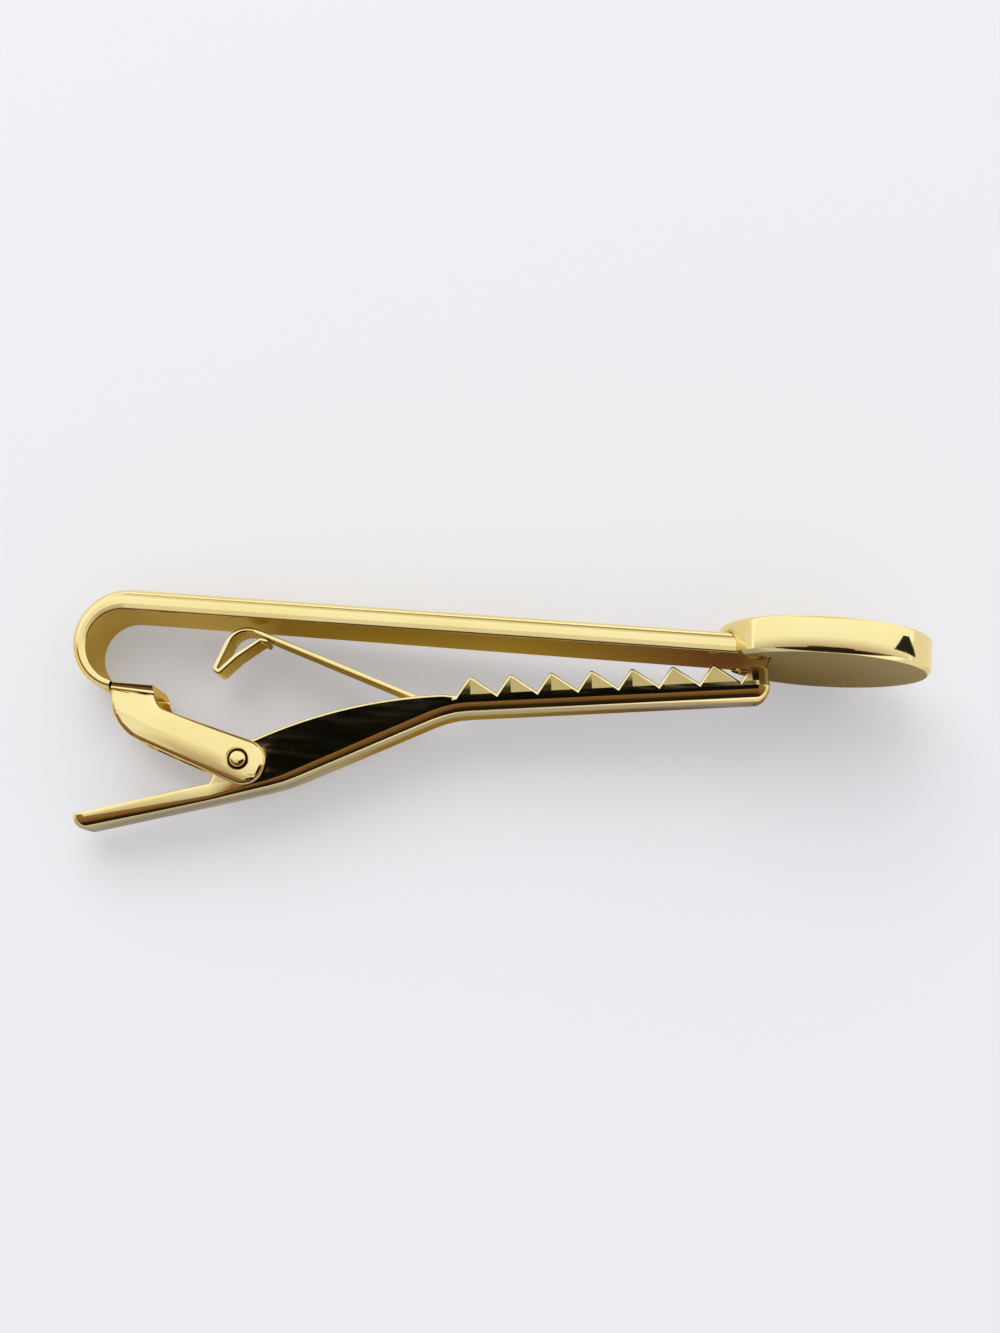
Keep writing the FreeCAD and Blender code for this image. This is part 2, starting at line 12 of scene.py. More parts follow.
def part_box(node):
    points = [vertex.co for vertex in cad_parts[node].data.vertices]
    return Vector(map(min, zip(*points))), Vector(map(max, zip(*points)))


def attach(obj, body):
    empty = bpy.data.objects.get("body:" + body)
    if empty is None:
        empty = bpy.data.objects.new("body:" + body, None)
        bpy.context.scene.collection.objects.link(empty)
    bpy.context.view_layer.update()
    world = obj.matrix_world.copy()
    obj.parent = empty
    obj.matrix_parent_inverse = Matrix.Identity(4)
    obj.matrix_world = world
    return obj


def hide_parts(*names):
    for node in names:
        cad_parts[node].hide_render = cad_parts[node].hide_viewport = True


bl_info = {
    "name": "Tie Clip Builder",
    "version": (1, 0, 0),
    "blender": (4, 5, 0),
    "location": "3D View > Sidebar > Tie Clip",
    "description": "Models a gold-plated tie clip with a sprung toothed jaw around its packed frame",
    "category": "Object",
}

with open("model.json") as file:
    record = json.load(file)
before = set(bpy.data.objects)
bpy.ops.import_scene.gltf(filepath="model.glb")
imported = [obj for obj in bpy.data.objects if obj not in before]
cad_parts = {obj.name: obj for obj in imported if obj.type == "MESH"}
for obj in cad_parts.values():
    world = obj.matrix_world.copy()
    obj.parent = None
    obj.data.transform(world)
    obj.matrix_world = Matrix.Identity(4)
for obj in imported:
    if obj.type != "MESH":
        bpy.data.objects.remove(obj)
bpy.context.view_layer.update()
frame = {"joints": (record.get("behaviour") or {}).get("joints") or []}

MM = 0.001
ARC_STEP = math.radians(7.5)
BOX_SLACK = 0.15 * MM
PIVOT = Vector(frame["joints"][0]["pos_m"])

# Slacks within which points count as the same, as on a cut, and as close to a plane
FINE = MM / 1000
HAIR = MM / 10000
CLOSE = MM / 100

# Edges flatter than this are shaded smooth
SMOOTH_LIMIT = math.radians(35)

# Low and high roughness, grain and bump of each finish
POLISHED = (0.03, 0.1, 0.05, 0.25)
SILKY = (0.1, 0.2, 0.1, 0.25)
PRESSED = (0.16, 0.28, 0.1, 0.25)
SATIN = (0.42, 0.58, 3.0, 0.6)
BUMP_REACH = 0.02 * MM

# Rise of the jaw's underside along X
JAW_RISE = 0.26

# Where the tones of the mirrored floor, a painted reflection with painted shade under the clip, start and
# end, as shares of ten times the spot's reach
FLOOR_SHADE_ENDS = 0.08
FLOOR_NEAR_STARTS = 0.13
FLOOR_NEAR_ENDS = 0.45
FLOOR_FAR_STARTS = 0.7

# The room as polished metal sees it, from before the bar to behind it
ROOM_IN_METAL = (
    (0.05, (0.02, 0.012, 0.006)),
    (0.12, (0.16, 0.085, 0.038)),
    (0.25, (0.25, 0.135, 0.057)),
    (0.46, (0.3, 0.17, 0.08)),
    (0.55, (1.06, 1.05, 1.0)),
    (0.7, (1.15, 1.14, 1.1)),
    (0.9, (1.12, 1.1, 1.04)),
    (0.97, (0.78, 0.74, 0.6)),
    (1.0, (0.3, 0.25, 0.16)),
)


def length(label, millimetres, description):
    settings = {"precision": 5, "subtype": "DISTANCE", "unit": "LENGTH"}
    return FloatProperty(name=label, description=description, default=millimetres * MM, **settings)


def spot(label, millimetres, description):
    metres = [value * MM for value in millimetres]
    return FloatVectorProperty(name=label, description=description, default=metres, subtype="TRANSLATION")


def angle(label, degrees, description):
    settings = {"subtype": "ANGLE", "unit": "ROTATION"}
    return FloatProperty(name=label, description=description, default=math.radians(degrees), **settings)


def colour(label, value, description):
    settings = {"size": 3, "min": 0.0, "max": 1.0, "subtype": "COLOR"}
    return FloatVectorProperty(name=label, description=description, default=value, **settings)


def number(label, value, description):
    return FloatProperty(name=label, description=description, default=value)


def whole(label, value, least, description):
    return IntProperty(name=label, description=description, default=value, min=least)


# Sizes and colours

class BarSizes(PropertyGroup):
    """The front bar, its bend and the tongue at its end"""

    end: length("Length", 48.5, "From the start of the outlines to the bar's end in the disc")
    thick: length("Thickness", 1.56, "Thickness of the straight part")
    wide_at_disc: length("Width at disc", 7.6, "Width where the bar enters the disc")
    wide_at_bend: length("Width at bend", 6.3, "Width where the bend starts")
    front_round: length("Front round", 1.1, "Radius along both front edges")
    edge_round: length("Edge round", 0.14, "Radius along both edges of the underside")
    side_crown: length("Side crown", 0.015, "How far the sides' middles stand out")
    side_draft: angle("Side draft", 3, "How far both sides draw in towards the underside")
    bend_along: length("Bend centre", 3.22, "Where the bend's centre lies along the bar")
    bend_radius: length("Bend radius", 2.55, "Inner radius of the bend")
    bend_turn: angle("Bend turn", 168, "How far the strip turns back")
    bend_end_thick: length("Bend end thickness", 0.62, "Thickness at the end of the bend")
    bend_end_wide: length("Bend end width", 5.7, "Width at the end of the bend")
    tongue_wide: length("Tongue width", 3.0, "Width of the tongue that is soldered into the bracket")
    tongue_length: length("Tongue length", 1.1, "Straight length of the tongue")
    bend_steps: whole("Bend steps", 48, 8, "Sections along the bend")


class DiscSizes(PropertyGroup):
    """The round disc on the bar's end"""

    sides: whole("Sides", 192, 32, "Sides of the round")
    back_bevel: length("Back bevel", 0.26, "Bevel around the back")
    front_round: length("Front round", 0.3, "Radius around the front")
    border: length("Border", 0.9, "Width of the raised border of the front")
    field_depth: length("Field depth", 0.2, "How deep the front's field is sunk")
    solder_gap: length("Solder gap", 0.02, "Gap between the bar and its slot")


class BracketSizes(PropertyGroup):
    """The folded bracket that carries the pin"""

    sheet: length("Sheet", 0.5, "Sheet thickness")
    web_start: length("Web start", 2.8, "Where the web starts along the bar")
    web_end: length("Web end", 5.6, "Where the web ends along the bar")
    over_pin: length("Over pin", 1.52, "Cheek above the pin's middle")
    under_pin: length("Under pin", 1.7, "Cheek below the pin's middle")
    past_pin: length("Past pin", 1.96, "Cheek past the pin's middle")
    top_fall: angle("Top fall", 15, "Slope of the cheek's upper edge")
    low_fall: angle("Low fall", 19.3, "Slope of the cheek's lower edge")
    end_round: length("End round", 1.58, "Radius of the cheek's end")
    heel_round: length("Heel round", 3.4, "Radius of the cheek's heel")
    throat_round: length("Throat round", 1.6, "Radius between the web and the cheek's upper edge")
    throat_lean: angle("Throat lean", 23, "Lean of the edge below the web")
    fold_round: length("Fold round", 0.8, "Outer radius of the two folds")
    rim_round: length("Rim round", 0.36, "Radius along the outer edges of the cheeks")
    edge_round: length("Edge round", 0.06, "Radius along the other edges")
    crown_half: length("Crown half width", 1.6, "From the cheek's middle line to where its crown ends")
    crown_drop: length("Crown drop", 0.085, "How far the cheek falls from its middle line to its edges")
    countersink: length("Countersink", 0.23, "Depth of the countersink round the pin")


class PinSizes(PropertyGroup):
    """The cross pin"""

    dome: length("Dome", 0.28, "Height of the rounded ends")


class JawSizes(PropertyGroup):
    """The pressed jaw with its tab, ears and teeth"""

    sheet: length("Sheet", 0.45, "Sheet thickness")
    wide: length("Width", 3.9, "Width across the floor")
    flare: angle("Flare", 5, "How far each wall leans out")
    tab_lean: angle("Tab lean", 4, "How far the tab's rims lean in")
    knee_ahead: length("Knee ahead", 3.32, "Knee of the floor, ahead of the pin")
    knee_below: length("Knee below", 1.52, "Knee of the floor, below the pin")
    tab_length: length("Tab length", 15.2, "From the knee to the end of the finger tab")
    tab_slope: angle("Tab slope", 16.9, "Slope of the finger tab")
    middle_length: length("Middle length", 12.5, "From the knee to the crown")
    middle_slope: angle("Middle slope", 27.4, "Slope of the middle part")
    tooth_part_length: length("Tooth part length", 22.4, "From the crown to the jaw's end")
    tooth_slope: angle("Tooth slope", 7.2, "Slope of the toothed part")
    knee_round: length("Knee round", 12, "Radius of the floor at the knee")
    crown_round: length("Crown round", 7, "Radius of the floor at the crown")
    corner_round: length("Corner round", 1.0, "Radius of the upright corners at both ends")
    fold_round: length("Fold round", 1.1, "Outer radius between floor and walls")
    tab_fold_share: number("Tab fold share", 0.5, "Radius along the tab, as a share of the fold round")
    rim_height: length("Rim height", 1.3, "Height of the tab's rim")
    ear_over_pin: length("Ear over pin", 1.45, "Ear above the pin's middle")
    ear_behind_pin: length("Ear behind pin", 0.95, "Ear behind the pin's middle")
    ear_ahead_of_pin: length("Ear ahead of pin", 0.8, "Where the ear's top ends, ahead of the pin")
    ear_back_lean: angle("Ear back lean", 73, "Lean of the ear's back edge")
    ear_round: length("Ear round", 0.9, "Radius of the ear's corner")
    wall_swell: length("Wall swell", 0.75, "How far the wall's upper edge swells")
    root_height: length("Root height", 1.5, "Height of the tooth roots over the floor's underside")
    root_ahead: length("Root ahead", 0.5, "First root ahead of the crown")
    root_lap: length("Root lap", 0.12, "How far the roots dip below the wall's edge")
    tooth_count: whole("Teeth", 7, 1, "Teeth in each row")
    tooth_height: length("Tooth height", 1.38, "Height of each tooth")
    tooth_pitch: length("Tooth pitch", 2.83, "Distance from tooth to tooth")
    tooth_lead: length("Tooth lead", 1.0, "Length of each tooth's steep side")
    tip_round: length("Tip round", 0.2, "Radius of the tooth tips")
    tooth_lean: angle("Tooth lean", 10, "How far the teeth lean in from the walls")
    end_tooth_lead: length("End tooth lead", 0.7, "Length of the end tooth's steep side")
    end_tooth_height: length("End tooth height", 0.85, "Height of the end tooth")
    # Teeth whose left half gets a painted dark reflection
    shade_sided_teeth: whole("Struck teeth", 5, 0, "Teeth whose left half is darker")
    border_wide: length("Border width", 0.17, "Width of the border turned down along the cut edges")
    border_drop: length("Border drop", 0.05, "How far that border is turned down")
    edge_round: length("Edge round", 0.06, "Radius along the cut edges")


class SpringSizes(PropertyGroup):
    """The leaf spring on the jaw's floor"""

    thick: length("Thickness", 0.34, "Strip thickness")
    wide: length("Width", 2.7, "Strip width")
    foot_length: length("Foot length", 9, "Length soldered to the jaw")
    foot_bend_round: length("Foot bend round", 1.5, "Radius where the strip leaves the jaw")
    fall: angle("Fall", 18.24, "Slope of the long arm")
    hump_gap: length("Hump gap", 0.32, "Gap between the hump and the bar")
    hump_behind_pin: length("Hump behind pin", 0.42, "Top of the hump, behind the pin")
    hump_round: length("Hump round", 1.5, "Radius of the hump")
    loop_lean: angle("Loop lean", 70, "Lean of the loop's front leg")
    loop_length: length("Loop length", 3.6, "Length of the front leg")
    tip_wide: length("Tip width", 0.36, "Width of the loop's tip")
    tip_lean: angle("Tip lean", 34, "Lean of the loop's tip")
    tip_round: length("Tip round", 0.18, "Radius of the loop's tip")
    back_lean: angle("Back lean", 47.5, "Lean of the loop's back leg")
    back_length: length("Back length", 1.6, "Length of the back leg")
    back_round: length("Back round", 1.5, "Radius of the back leg")
    end_gap: length("End gap", 0.06, "Gap between the strip's end and the arm")
    end_ahead: length("End ahead", 0.6, "How far past the hump the loop meets the arm")
    strand_lap: length("Strand lap", 0.5, "How far the strip's end lies along the arm")
    edge_round: length("Edge round", 0.07, "Radius along the strip's edges")


class FinishColours(PropertyGroup):
    """The plated finishes, the painted shade and reflections on them, and the floor's and room's tones"""

    gold: colour("Gold", (0.89, 0.77, 0.40), "Polished plate")
    deep_gold: colour("Deep gold", (0.86, 0.72, 0.33), "Thicker and warmer patches of plate")
    teeth: colour("Teeth", (0.46, 0.37, 0.16), "Flanks of the teeth")
    # Painted shade in the countersinks round the pin, and a painted dark reflection near the roots of some
    # teeth
    painted_shade: colour("Stain", (0.035, 0.025, 0.008), "Dark plate by the pin and in the struck teeth")
    # A painted dark reflection along the tops of the web's folds
    fold_dark_reflection: colour("Browned", (0.15, 0.065, 0.02), "Browner plate along the web's folds")
    back_gold: colour("Disc back", (0.37, 0.31, 0.16), "Satin back of the disc")
    floor: colour("Floor", (0.62, 0.62, 0.64), "The pale floor")
    # A painted glow: the floor emits this evenly, which lifts its cast shadows
    floor_painted_glow: colour("Floor glow", (0.21, 0.21, 0.22), "Light that the floor scatters from all round")
    # The floor's tones in polished metal are a painted reflection: painted shade under the clip, in the bend,
    # between jaw and bar and past the jaw, and painted light far off
    floor_in_metal: colour("Floor in metal", (0.86, 0.80, 0.68), "The floor as polished metal mirrors it")
    floor_shade_under_clip: colour("Floor under clip", (0.48, 0.32, 0.05), "The floor under the clip, in metal")
    floor_warm_shade_in_loop: colour("Floor in loop", (0.86, 0.67, 0.25), "The floor inside the bend, in metal")
    floor_shade_by_disc: colour("Floor by disc", (0.20, 0.085, 0.03), "The floor between jaw and bar, in metal")
    floor_shade_past_jaw: colour("Floor past jaw", (0.44, 0.41, 0.42), "The shaded floor past the jaw, in metal")
    floor_far_off: colour("Floor far off", (1.0, 0.98, 0.92), "The floor far from the clip, in metal")
    room: colour("Room", (0.8, 0.8, 0.81), "The even light of the room")


class StageSettings(PropertyGroup):
    """Camera, floor and light"""

    camera_place: spot("Camera", (8.62, -17.44, 147.25), "Where the camera stands")
    camera_aim: spot("Aim", (-0.02, 5.05, 7.45), "The point the camera looks at")
    camera_roll: angle("Roll", 4.31, "Turn of the picture in the table's plane")
    camera_lens: number("Lens", 54.0, "Focal length for a sensor 36 mm long")
    floor_span: length("Floor span", 3000, "Side of the floor")
    lamp_place: spot("Lamp", (-120, 350, 550), "Where the soft lamp hangs")
    lamp_size: length("Lamp size", 500, "Across the soft lamp")
    lamp_power: number("Lamp power", 1.5, "Power of the soft lamp in watts")
    camera_card_shift: spot("Camera card", (17, -16.3, 0), "Middle of the camera's card, from the camera")
    side_card_place: spot("Side card", (60, 17.3, 13), "Middle of the dark side card, from the disc's edge")


# Geometry helpers

def home():
    """The start of the outlines: on the bar's underside, in the middle of the clip's width."""
    bar = bpy.context.scene.clip_bar
    bar_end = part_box("front_bar")[1]
    return Vector((bar_end.x - bar.end, bar_end.y - bar.thick, PIVOT.z))


def pin_radius():
    low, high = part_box("pivot_pin")
    return (high.x - low.x) / 2


def jaw_floor(jaw):
    """The knee and the crown of the jaw's underside, seen along Z."""
    knee = PIVOT + Vector((jaw.knee_ahead, -jaw.knee_below, 0))
    return knee, knee + heading(jaw.middle_slope) * jaw.middle_length


def same(one, other, slack=FINE):
    return abs(one - other) < slack


def sideways(distance):
    """A step along the clip's width."""
    return Vector((0, 0, distance))


def heading(turn):
    """The direction at a turn from +X, seen along Z."""
    return Vector((math.cos(turn), math.sin(turn), 0.0))


def square(way):
    """The direction a quarter turn to the left of another, seen along Z."""
    return Vector((-way.y, way.x, 0.0))


def above(point, way, height):
    """The point moved square to a direction."""
    return point + square(way) * height


def crossing(start, way, other_start, other_way):
    """The point where two lines meet, seen along Z."""
    across = way.x * other_way.y - way.y * other_way.x
    apart = other_start - start
    return start + way * ((apart.x * other_way.y - apart.y * other_way.x) / across)


def rounded(corners, closed=True):
    """Points along an outline whose corners, each given as (point, radius), are rounded."""
    points = []
    count = len(corners)
    for i, (corner, radius) in enumerate(corners):
        if radius == 0 or (not closed and i in (0, count - 1)):
            points.append(corner.copy())
            continue
        back = (corners[i - 1][0] - corner).normalized()
        ahead = (corners[(i + 1) % count][0] - corner).normalized()
        half = back.angle(ahead) / 2
        middle = corner + (back + ahead).normalized() * (radius / math.sin(half))
        start = corner + back * (radius / math.tan(half)) - middle
        turn = math.pi - 2 * half
        axis = back.cross(ahead)
        steps = max(2, math.ceil(turn / ARC_STEP))
        for step in range(steps + 1):
            points.append(middle + Matrix.Rotation(-turn * step / steps, 3, axis) @ start)
    return points


# Modelling helpers

def select_all():
    bpy.ops.mesh.select_all(action="SELECT")


def new_piece(name, add_primitive, scale=(1, 1, 1), **settings):
    """Adds a primitive under a name, and goes into edit mode with all of it selected."""
    bpy.ops.object.select_all(action="DESELECT")
    add_primitive(**settings)
    piece = bpy.context.object
    piece.name = name
    piece.data.name = name
    piece.scale = scale
    bpy.ops.object.transform_apply(location=True, rotation=True, scale=True)
    bpy.ops.object.mode_set(mode="EDIT")
    bpy.ops.mesh.select_mode(type="VERT")
    select_all()
    return piece


def extrude(offset=(0, 0, 0)):
    bpy.ops.mesh.extrude_region_move(TRANSFORM_OT_translate={"value": offset})


def trace(name, points, closed=True):
    """Draws an outline by extruding one point from corner to corner, and fills it if it is closed."""
    piece = new_piece(name, bpy.ops.mesh.primitive_plane_add, size=MM)
    bpy.ops.mesh.merge(type="CENTER")
    bpy.ops.transform.translate(value=points[0])
    for before, point in zip(points, points[1:]):
        extrude(point - before)
    select_all()
    if closed:
        bpy.ops.mesh.edge_face_add()
    return piece


def pick(piece, kind, test):
    """Selects the vertices, edges or faces that pass a test, in edit mode."""
    bpy.ops.mesh.select_mode(type=kind)
    bpy.ops.mesh.select_all(action="DESELECT")
    mesh = bmesh.from_edit_mesh(piece.data)
    for item in {"VERT": mesh.verts, "EDGE": mesh.edges, "FACE": mesh.faces}[kind]:
        if test(item):
            item.select_set(True)
    mesh.select_flush_mode()
    bmesh.update_edit_mesh(piece.data)


def round_edges(piece, radius, segments, test, **settings):
    """Rounds the edges that pass a test, in edit mode."""
    pick(piece, "EDGE", test)
    bpy.ops.mesh.bevel(offset=radius, segments=segments, affect="EDGES", **settings)


def reshape(piece, move):
    """Moves each selected vertex to where a formula puts it, in edit mode."""
    mesh = bmesh.from_edit_mesh(piece.data)
    for vertex in mesh.verts:
        if vertex.select:
            vertex.co = move(vertex.co)
    bmesh.update_edit_mesh(piece.data)


def bisect(point, way):
    """Parts the selected faces along a plane, in edit mode."""
    bpy.ops.mesh.bisect(plane_co=point, plane_no=way, threshold=HAIR)


def part(planes):
    """Parts all faces along planes, each given as (point, direction), in edit mode."""
    for point, way in planes:
        select_all()
        bisect(point, way)


def weld():
    """Merges doubles and turns faces outwards, in edit mode."""
    select_all()
    bpy.ops.mesh.remove_doubles(threshold=FINE)
    bpy.ops.mesh.normals_make_consistent(inside=False)


def finish_mesh():
    """Welds the mesh and leaves edit mode."""
    weld()
    bpy.ops.object.mode_set(mode="OBJECT")


def pair_walls(piece, wide, test):
    """Copies a wall to the other side, and joins both by sheet along the edges that pass a test."""
    select_all()
    bpy.ops.mesh.duplicate_move(TRANSFORM_OT_translate={"value": (0, 0, -wide)})
    pick(piece, "EDGE", test)
    extrude(sideways(-wide))
    weld()


def activate(piece):
    """Selects one piece alone, and makes it the active one."""
    bpy.ops.object.select_all(action="DESELECT")
    piece.select_set(True)
    bpy.context.view_layer.objects.active = piece


def applied(piece, kind, **settings):
    """Adds a modifier to a piece and applies it."""
    activate(piece)
    bpy.ops.object.modifier_add(type=kind)
    modifier = piece.modifiers[-1]
    for name, value in settings.items():
        setattr(modifier, name, value)
    bpy.ops.object.modifier_apply(modifier=modifier.name)


def thicken(piece, sheet, offset=-1):
    """Gives a surface the thickness of its sheet, inwards unless told otherwise."""
    applied(piece, "SOLIDIFY", thickness=sheet, offset=offset, use_even_offset=True)


def cut(piece, cutter):
    """Takes the cutter's shape out of the piece, and removes the cutter."""
    applied(piece, "BOOLEAN", operation="DIFFERENCE", solver="EXACT", object=cutter)
    bpy.data.objects.remove(cutter)


def soften(piece, width, segments=3, limit=math.radians(40), clamp=True):
    """Rounds the sharp edges, and keeps the flat faces flat in their shading."""
    if width:
        bevel = {"width": width, "segments": segments, "use_clamp_overlap": clamp}
        applied(piece, "BEVEL", limit_method="ANGLE", angle_limit=limit, **bevel)
    activate(piece)
    bpy.ops.object.shade_smooth_by_angle(angle=SMOOTH_LIMIT)
    applied(piece, "WEIGHTED_NORMAL", keep_sharp=True, weight=80)


def dress(piece, material, body, node):
    """Checks the piece against its CAD box, and gives it its finish and its place in the frame."""
    corners = [vertex.co for vertex in piece.data.vertices]
    for axis in range(3):
        low = min(corner[axis] for corner in corners)
        high = max(corner[axis] for corner in corners)
        cad_low, cad_high = (corner[axis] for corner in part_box(node))
        if max(abs(low - cad_low), abs(high - cad_high)) > BOX_SLACK:
            raise RuntimeError(f"{piece.name} leaves its CAD box along axis {axis}: {low} to {high}")
    piece.data.materials.clear()
    piece.data.materials.append(material)
    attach(piece, body)
    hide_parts(node)


# Node helpers

def opaque(tone):
    return (*tone, 1.0)


def feed(tree, node, inputs):
    """Links a node's inputs to sockets, or sets them to values."""
    for name, value in inputs.items():
        if isinstance(value, bpy.types.NodeSocket):
            tree.links.new(value, node.inputs[name])
        else:
            node.inputs[name].default_value = value


def add(tree, kind, inputs, **settings):
    """Adds a shader node with its settings and inputs."""
    node = tree.nodes.new(f"ShaderNode{kind}")
    for name, value in settings.items():
        setattr(node, name, value)
    feed(tree, node, inputs)
    return node


def source(tree, kind, output):
    """An output of a node that has no inputs."""
    return add(tree, kind, {}).outputs[output]


def noise(tree, vector, scale, detail):
    return add(tree, "TexNoise", {"Vector": vector, "Scale": scale, "Detail": detail}).outputs["Fac"]


def ranged(tree, value, start, end, low=0.0, high=1.0):
    """A value's way from start to end, as a way from low to high."""
    inputs = {"Value": value, "From Min": start, "From Max": end, "To Min": low, "To Max": high}
    return add(tree, "MapRange", inputs).outputs["Result"]


def mixed(tree, share, first, last):
    """A colour between two others."""
    return add(tree, "Mix", {"Factor": share, "A": first, "B": last}, data_type="RGBA").outputs["Result"]


def worked_out(tree, operation, *values):
    return add(tree, "Math", dict(enumerate(values)), operation=operation).outputs["Value"]


def product(tree, first, *others):
    for other in others:
        first = worked_out(tree, "MULTIPLY", first, other)
    return first


def vector_math(tree, operation, output, *values):
    return add(tree, "VectorMath", dict(enumerate(values)), operation=operation).outputs[output]


def ramp(tree, value, stops):
    """A colour that goes through stops, each given as (position, colour), as a value rises."""
    node = add(tree, "ValToRGB", {"Fac": value})
    elements = node.color_ramp.elements
    first, last = elements
    for element, (position, tone) in ((first, stops[0]), (last, stops[-1])):
        element.position = position
        element.color = opaque(tone)
    for position, tone in stops[1:-1]:
        elements.new(position).color = opaque(tone)
    return node.outputs["Color"]


# Materials

def new_material(name):
    material = bpy.data.materials.new(name)
    material.use_nodes = True
    tree = material.node_tree
    tree.nodes.clear()
    shader = add(tree, "BsdfPrincipled", {})
    add(tree, "OutputMaterial", {"Surface": shader.outputs["BSDF"]})
    return material, tree, shader


def plating_group():
    """A node group for plated metal: cloudy tone, polishing lines and small pits."""
    name = "plated_surface"
    if name in bpy.data.node_groups:
        return bpy.data.node_groups[name]
    group = bpy.data.node_groups.new(name, "ShaderNodeTree")
    sockets = (
        ("Vector", "INPUT", "NodeSocketVector"),
        ("Plate", "INPUT", "NodeSocketColor"),
        ("Deep Plate", "INPUT", "NodeSocketColor"),
        ("Low Roughness", "INPUT", "NodeSocketFloat"),
        ("High Roughness", "INPUT", "NodeSocketFloat"),
        ("Grain", "INPUT", "NodeSocketFloat"),
        ("Colour", "OUTPUT", "NodeSocketColor"),
        ("Roughness", "OUTPUT", "NodeSocketFloat"),
        ("Height", "OUTPUT", "NodeSocketFloat"),
    )
    for label, way, kind in sockets:
        group.interface.new_socket(label, in_out=way, socket_type=kind)
    given = group.nodes.new("NodeGroupInput").outputs
    place = given["Vector"]
    clouds = noise(group, place, scale=190.0, detail=4.0)
    cloud_share = ranged(group, clouds, 0.42, 0.68)
    stretch = add(group, "Mapping", {"Vector": place, "Scale": (220.0, 2600.0, 2600.0)})
    lines = noise(group, stretch.outputs["Vector"], scale=1.0, detail=3.0)
    grain = noise(group, place, scale=5200.0, detail=2.0)
    waves = noise(group, place, scale=420.0, detail=1.0)
    results = {
        "Colour": mixed(group, cloud_share, given["Plate"], given["Deep Plate"]),
        "Roughness": ranged(group, lines, 0.35, 0.75, given["Low Roughness"], given["High Roughness"]),
        "Height": worked_out(group, "ADD", product(group, grain, given["Grain"]), waves),
    }
    feed(group, group.nodes.new("NodeGroupOutput"), results)
    return group


def plated(name, plate, deep_plate, polish):
    """A gold finish, whose polish holds its low and high roughness, its grain and its bump."""
    material, tree, shader = new_material(name)
    low, high, grain, bump = polish
    inputs = {
        "Vector": source(tree, "TexCoord", "Object"),
        "Plate": opaque(plate),
        "Deep Plate": opaque(deep_plate),
        "Low Roughness": low,
        "High Roughness": high,
        "Grain": grain,
    }
    surface = add(tree, "Group", inputs, node_tree=plating_group()).outputs
    relief = add(tree, "Bump", {"Strength": bump, "Distance": BUMP_REACH, "Height": surface["Height"]})
    finish = {
        "Metallic": 1.0,
        "Base Color": surface["Colour"],
        "Roughness": surface["Roughness"],
        "Normal": relief.outputs["Normal"],
    }
    feed(tree, shader, finish)
    return material


def polished_gold(name):
    finish = bpy.context.scene.clip_finish
    return plated(name, finish.gold, finish.deep_gold, POLISHED)


def two_toned(material, value, start, end, first, last):
    """Shades a finish from the first colour to the last, as a value goes from start to end."""
    tree = material.node_tree
    tone = mixed(tree, ranged(tree, value, start, end), opaque(first), opaque(last))
    feed(tree, tree.nodes["Principled BSDF"], {"Base Color": tone})


def teeth_shade_gold(name, root, up, height):
    """The plate of the teeth with a painted dark reflection, darker towards the root."""
    finish = bpy.context.scene.clip_finish
    material = plated(name, finish.teeth, finish.teeth, PRESSED)
    tree = material.node_tree
    along = vector_math(tree, "DOT_PRODUCT", "Value", source(tree, "TexCoord", "Object"), up)
    level = root.dot(up)
    two_toned(material, along, level + height * 0.25, level + height * 0.75, finish.painted_shade, finish.teeth)
    return material


def pin_shade_gold(name, start, end):
    """Plate round the pin with painted shade: dark close to it, bright further out."""
    finish = bpy.context.scene.clip_finish
    material = plated(name, finish.gold, finish.gold, SILKY)
    tree = material.node_tree
    from_pin = vector_math(tree, "SUBTRACT", "Vector", source(tree, "TexCoord", "Object"), PIVOT)
    flat = vector_math(tree, "MULTIPLY", "Vector", from_pin, (1, 1, 0))
    two_toned(material, vector_math(tree, "LENGTH", "Value", flat), start, end, finish.painted_shade, finish.gold)
    return material


# Operators

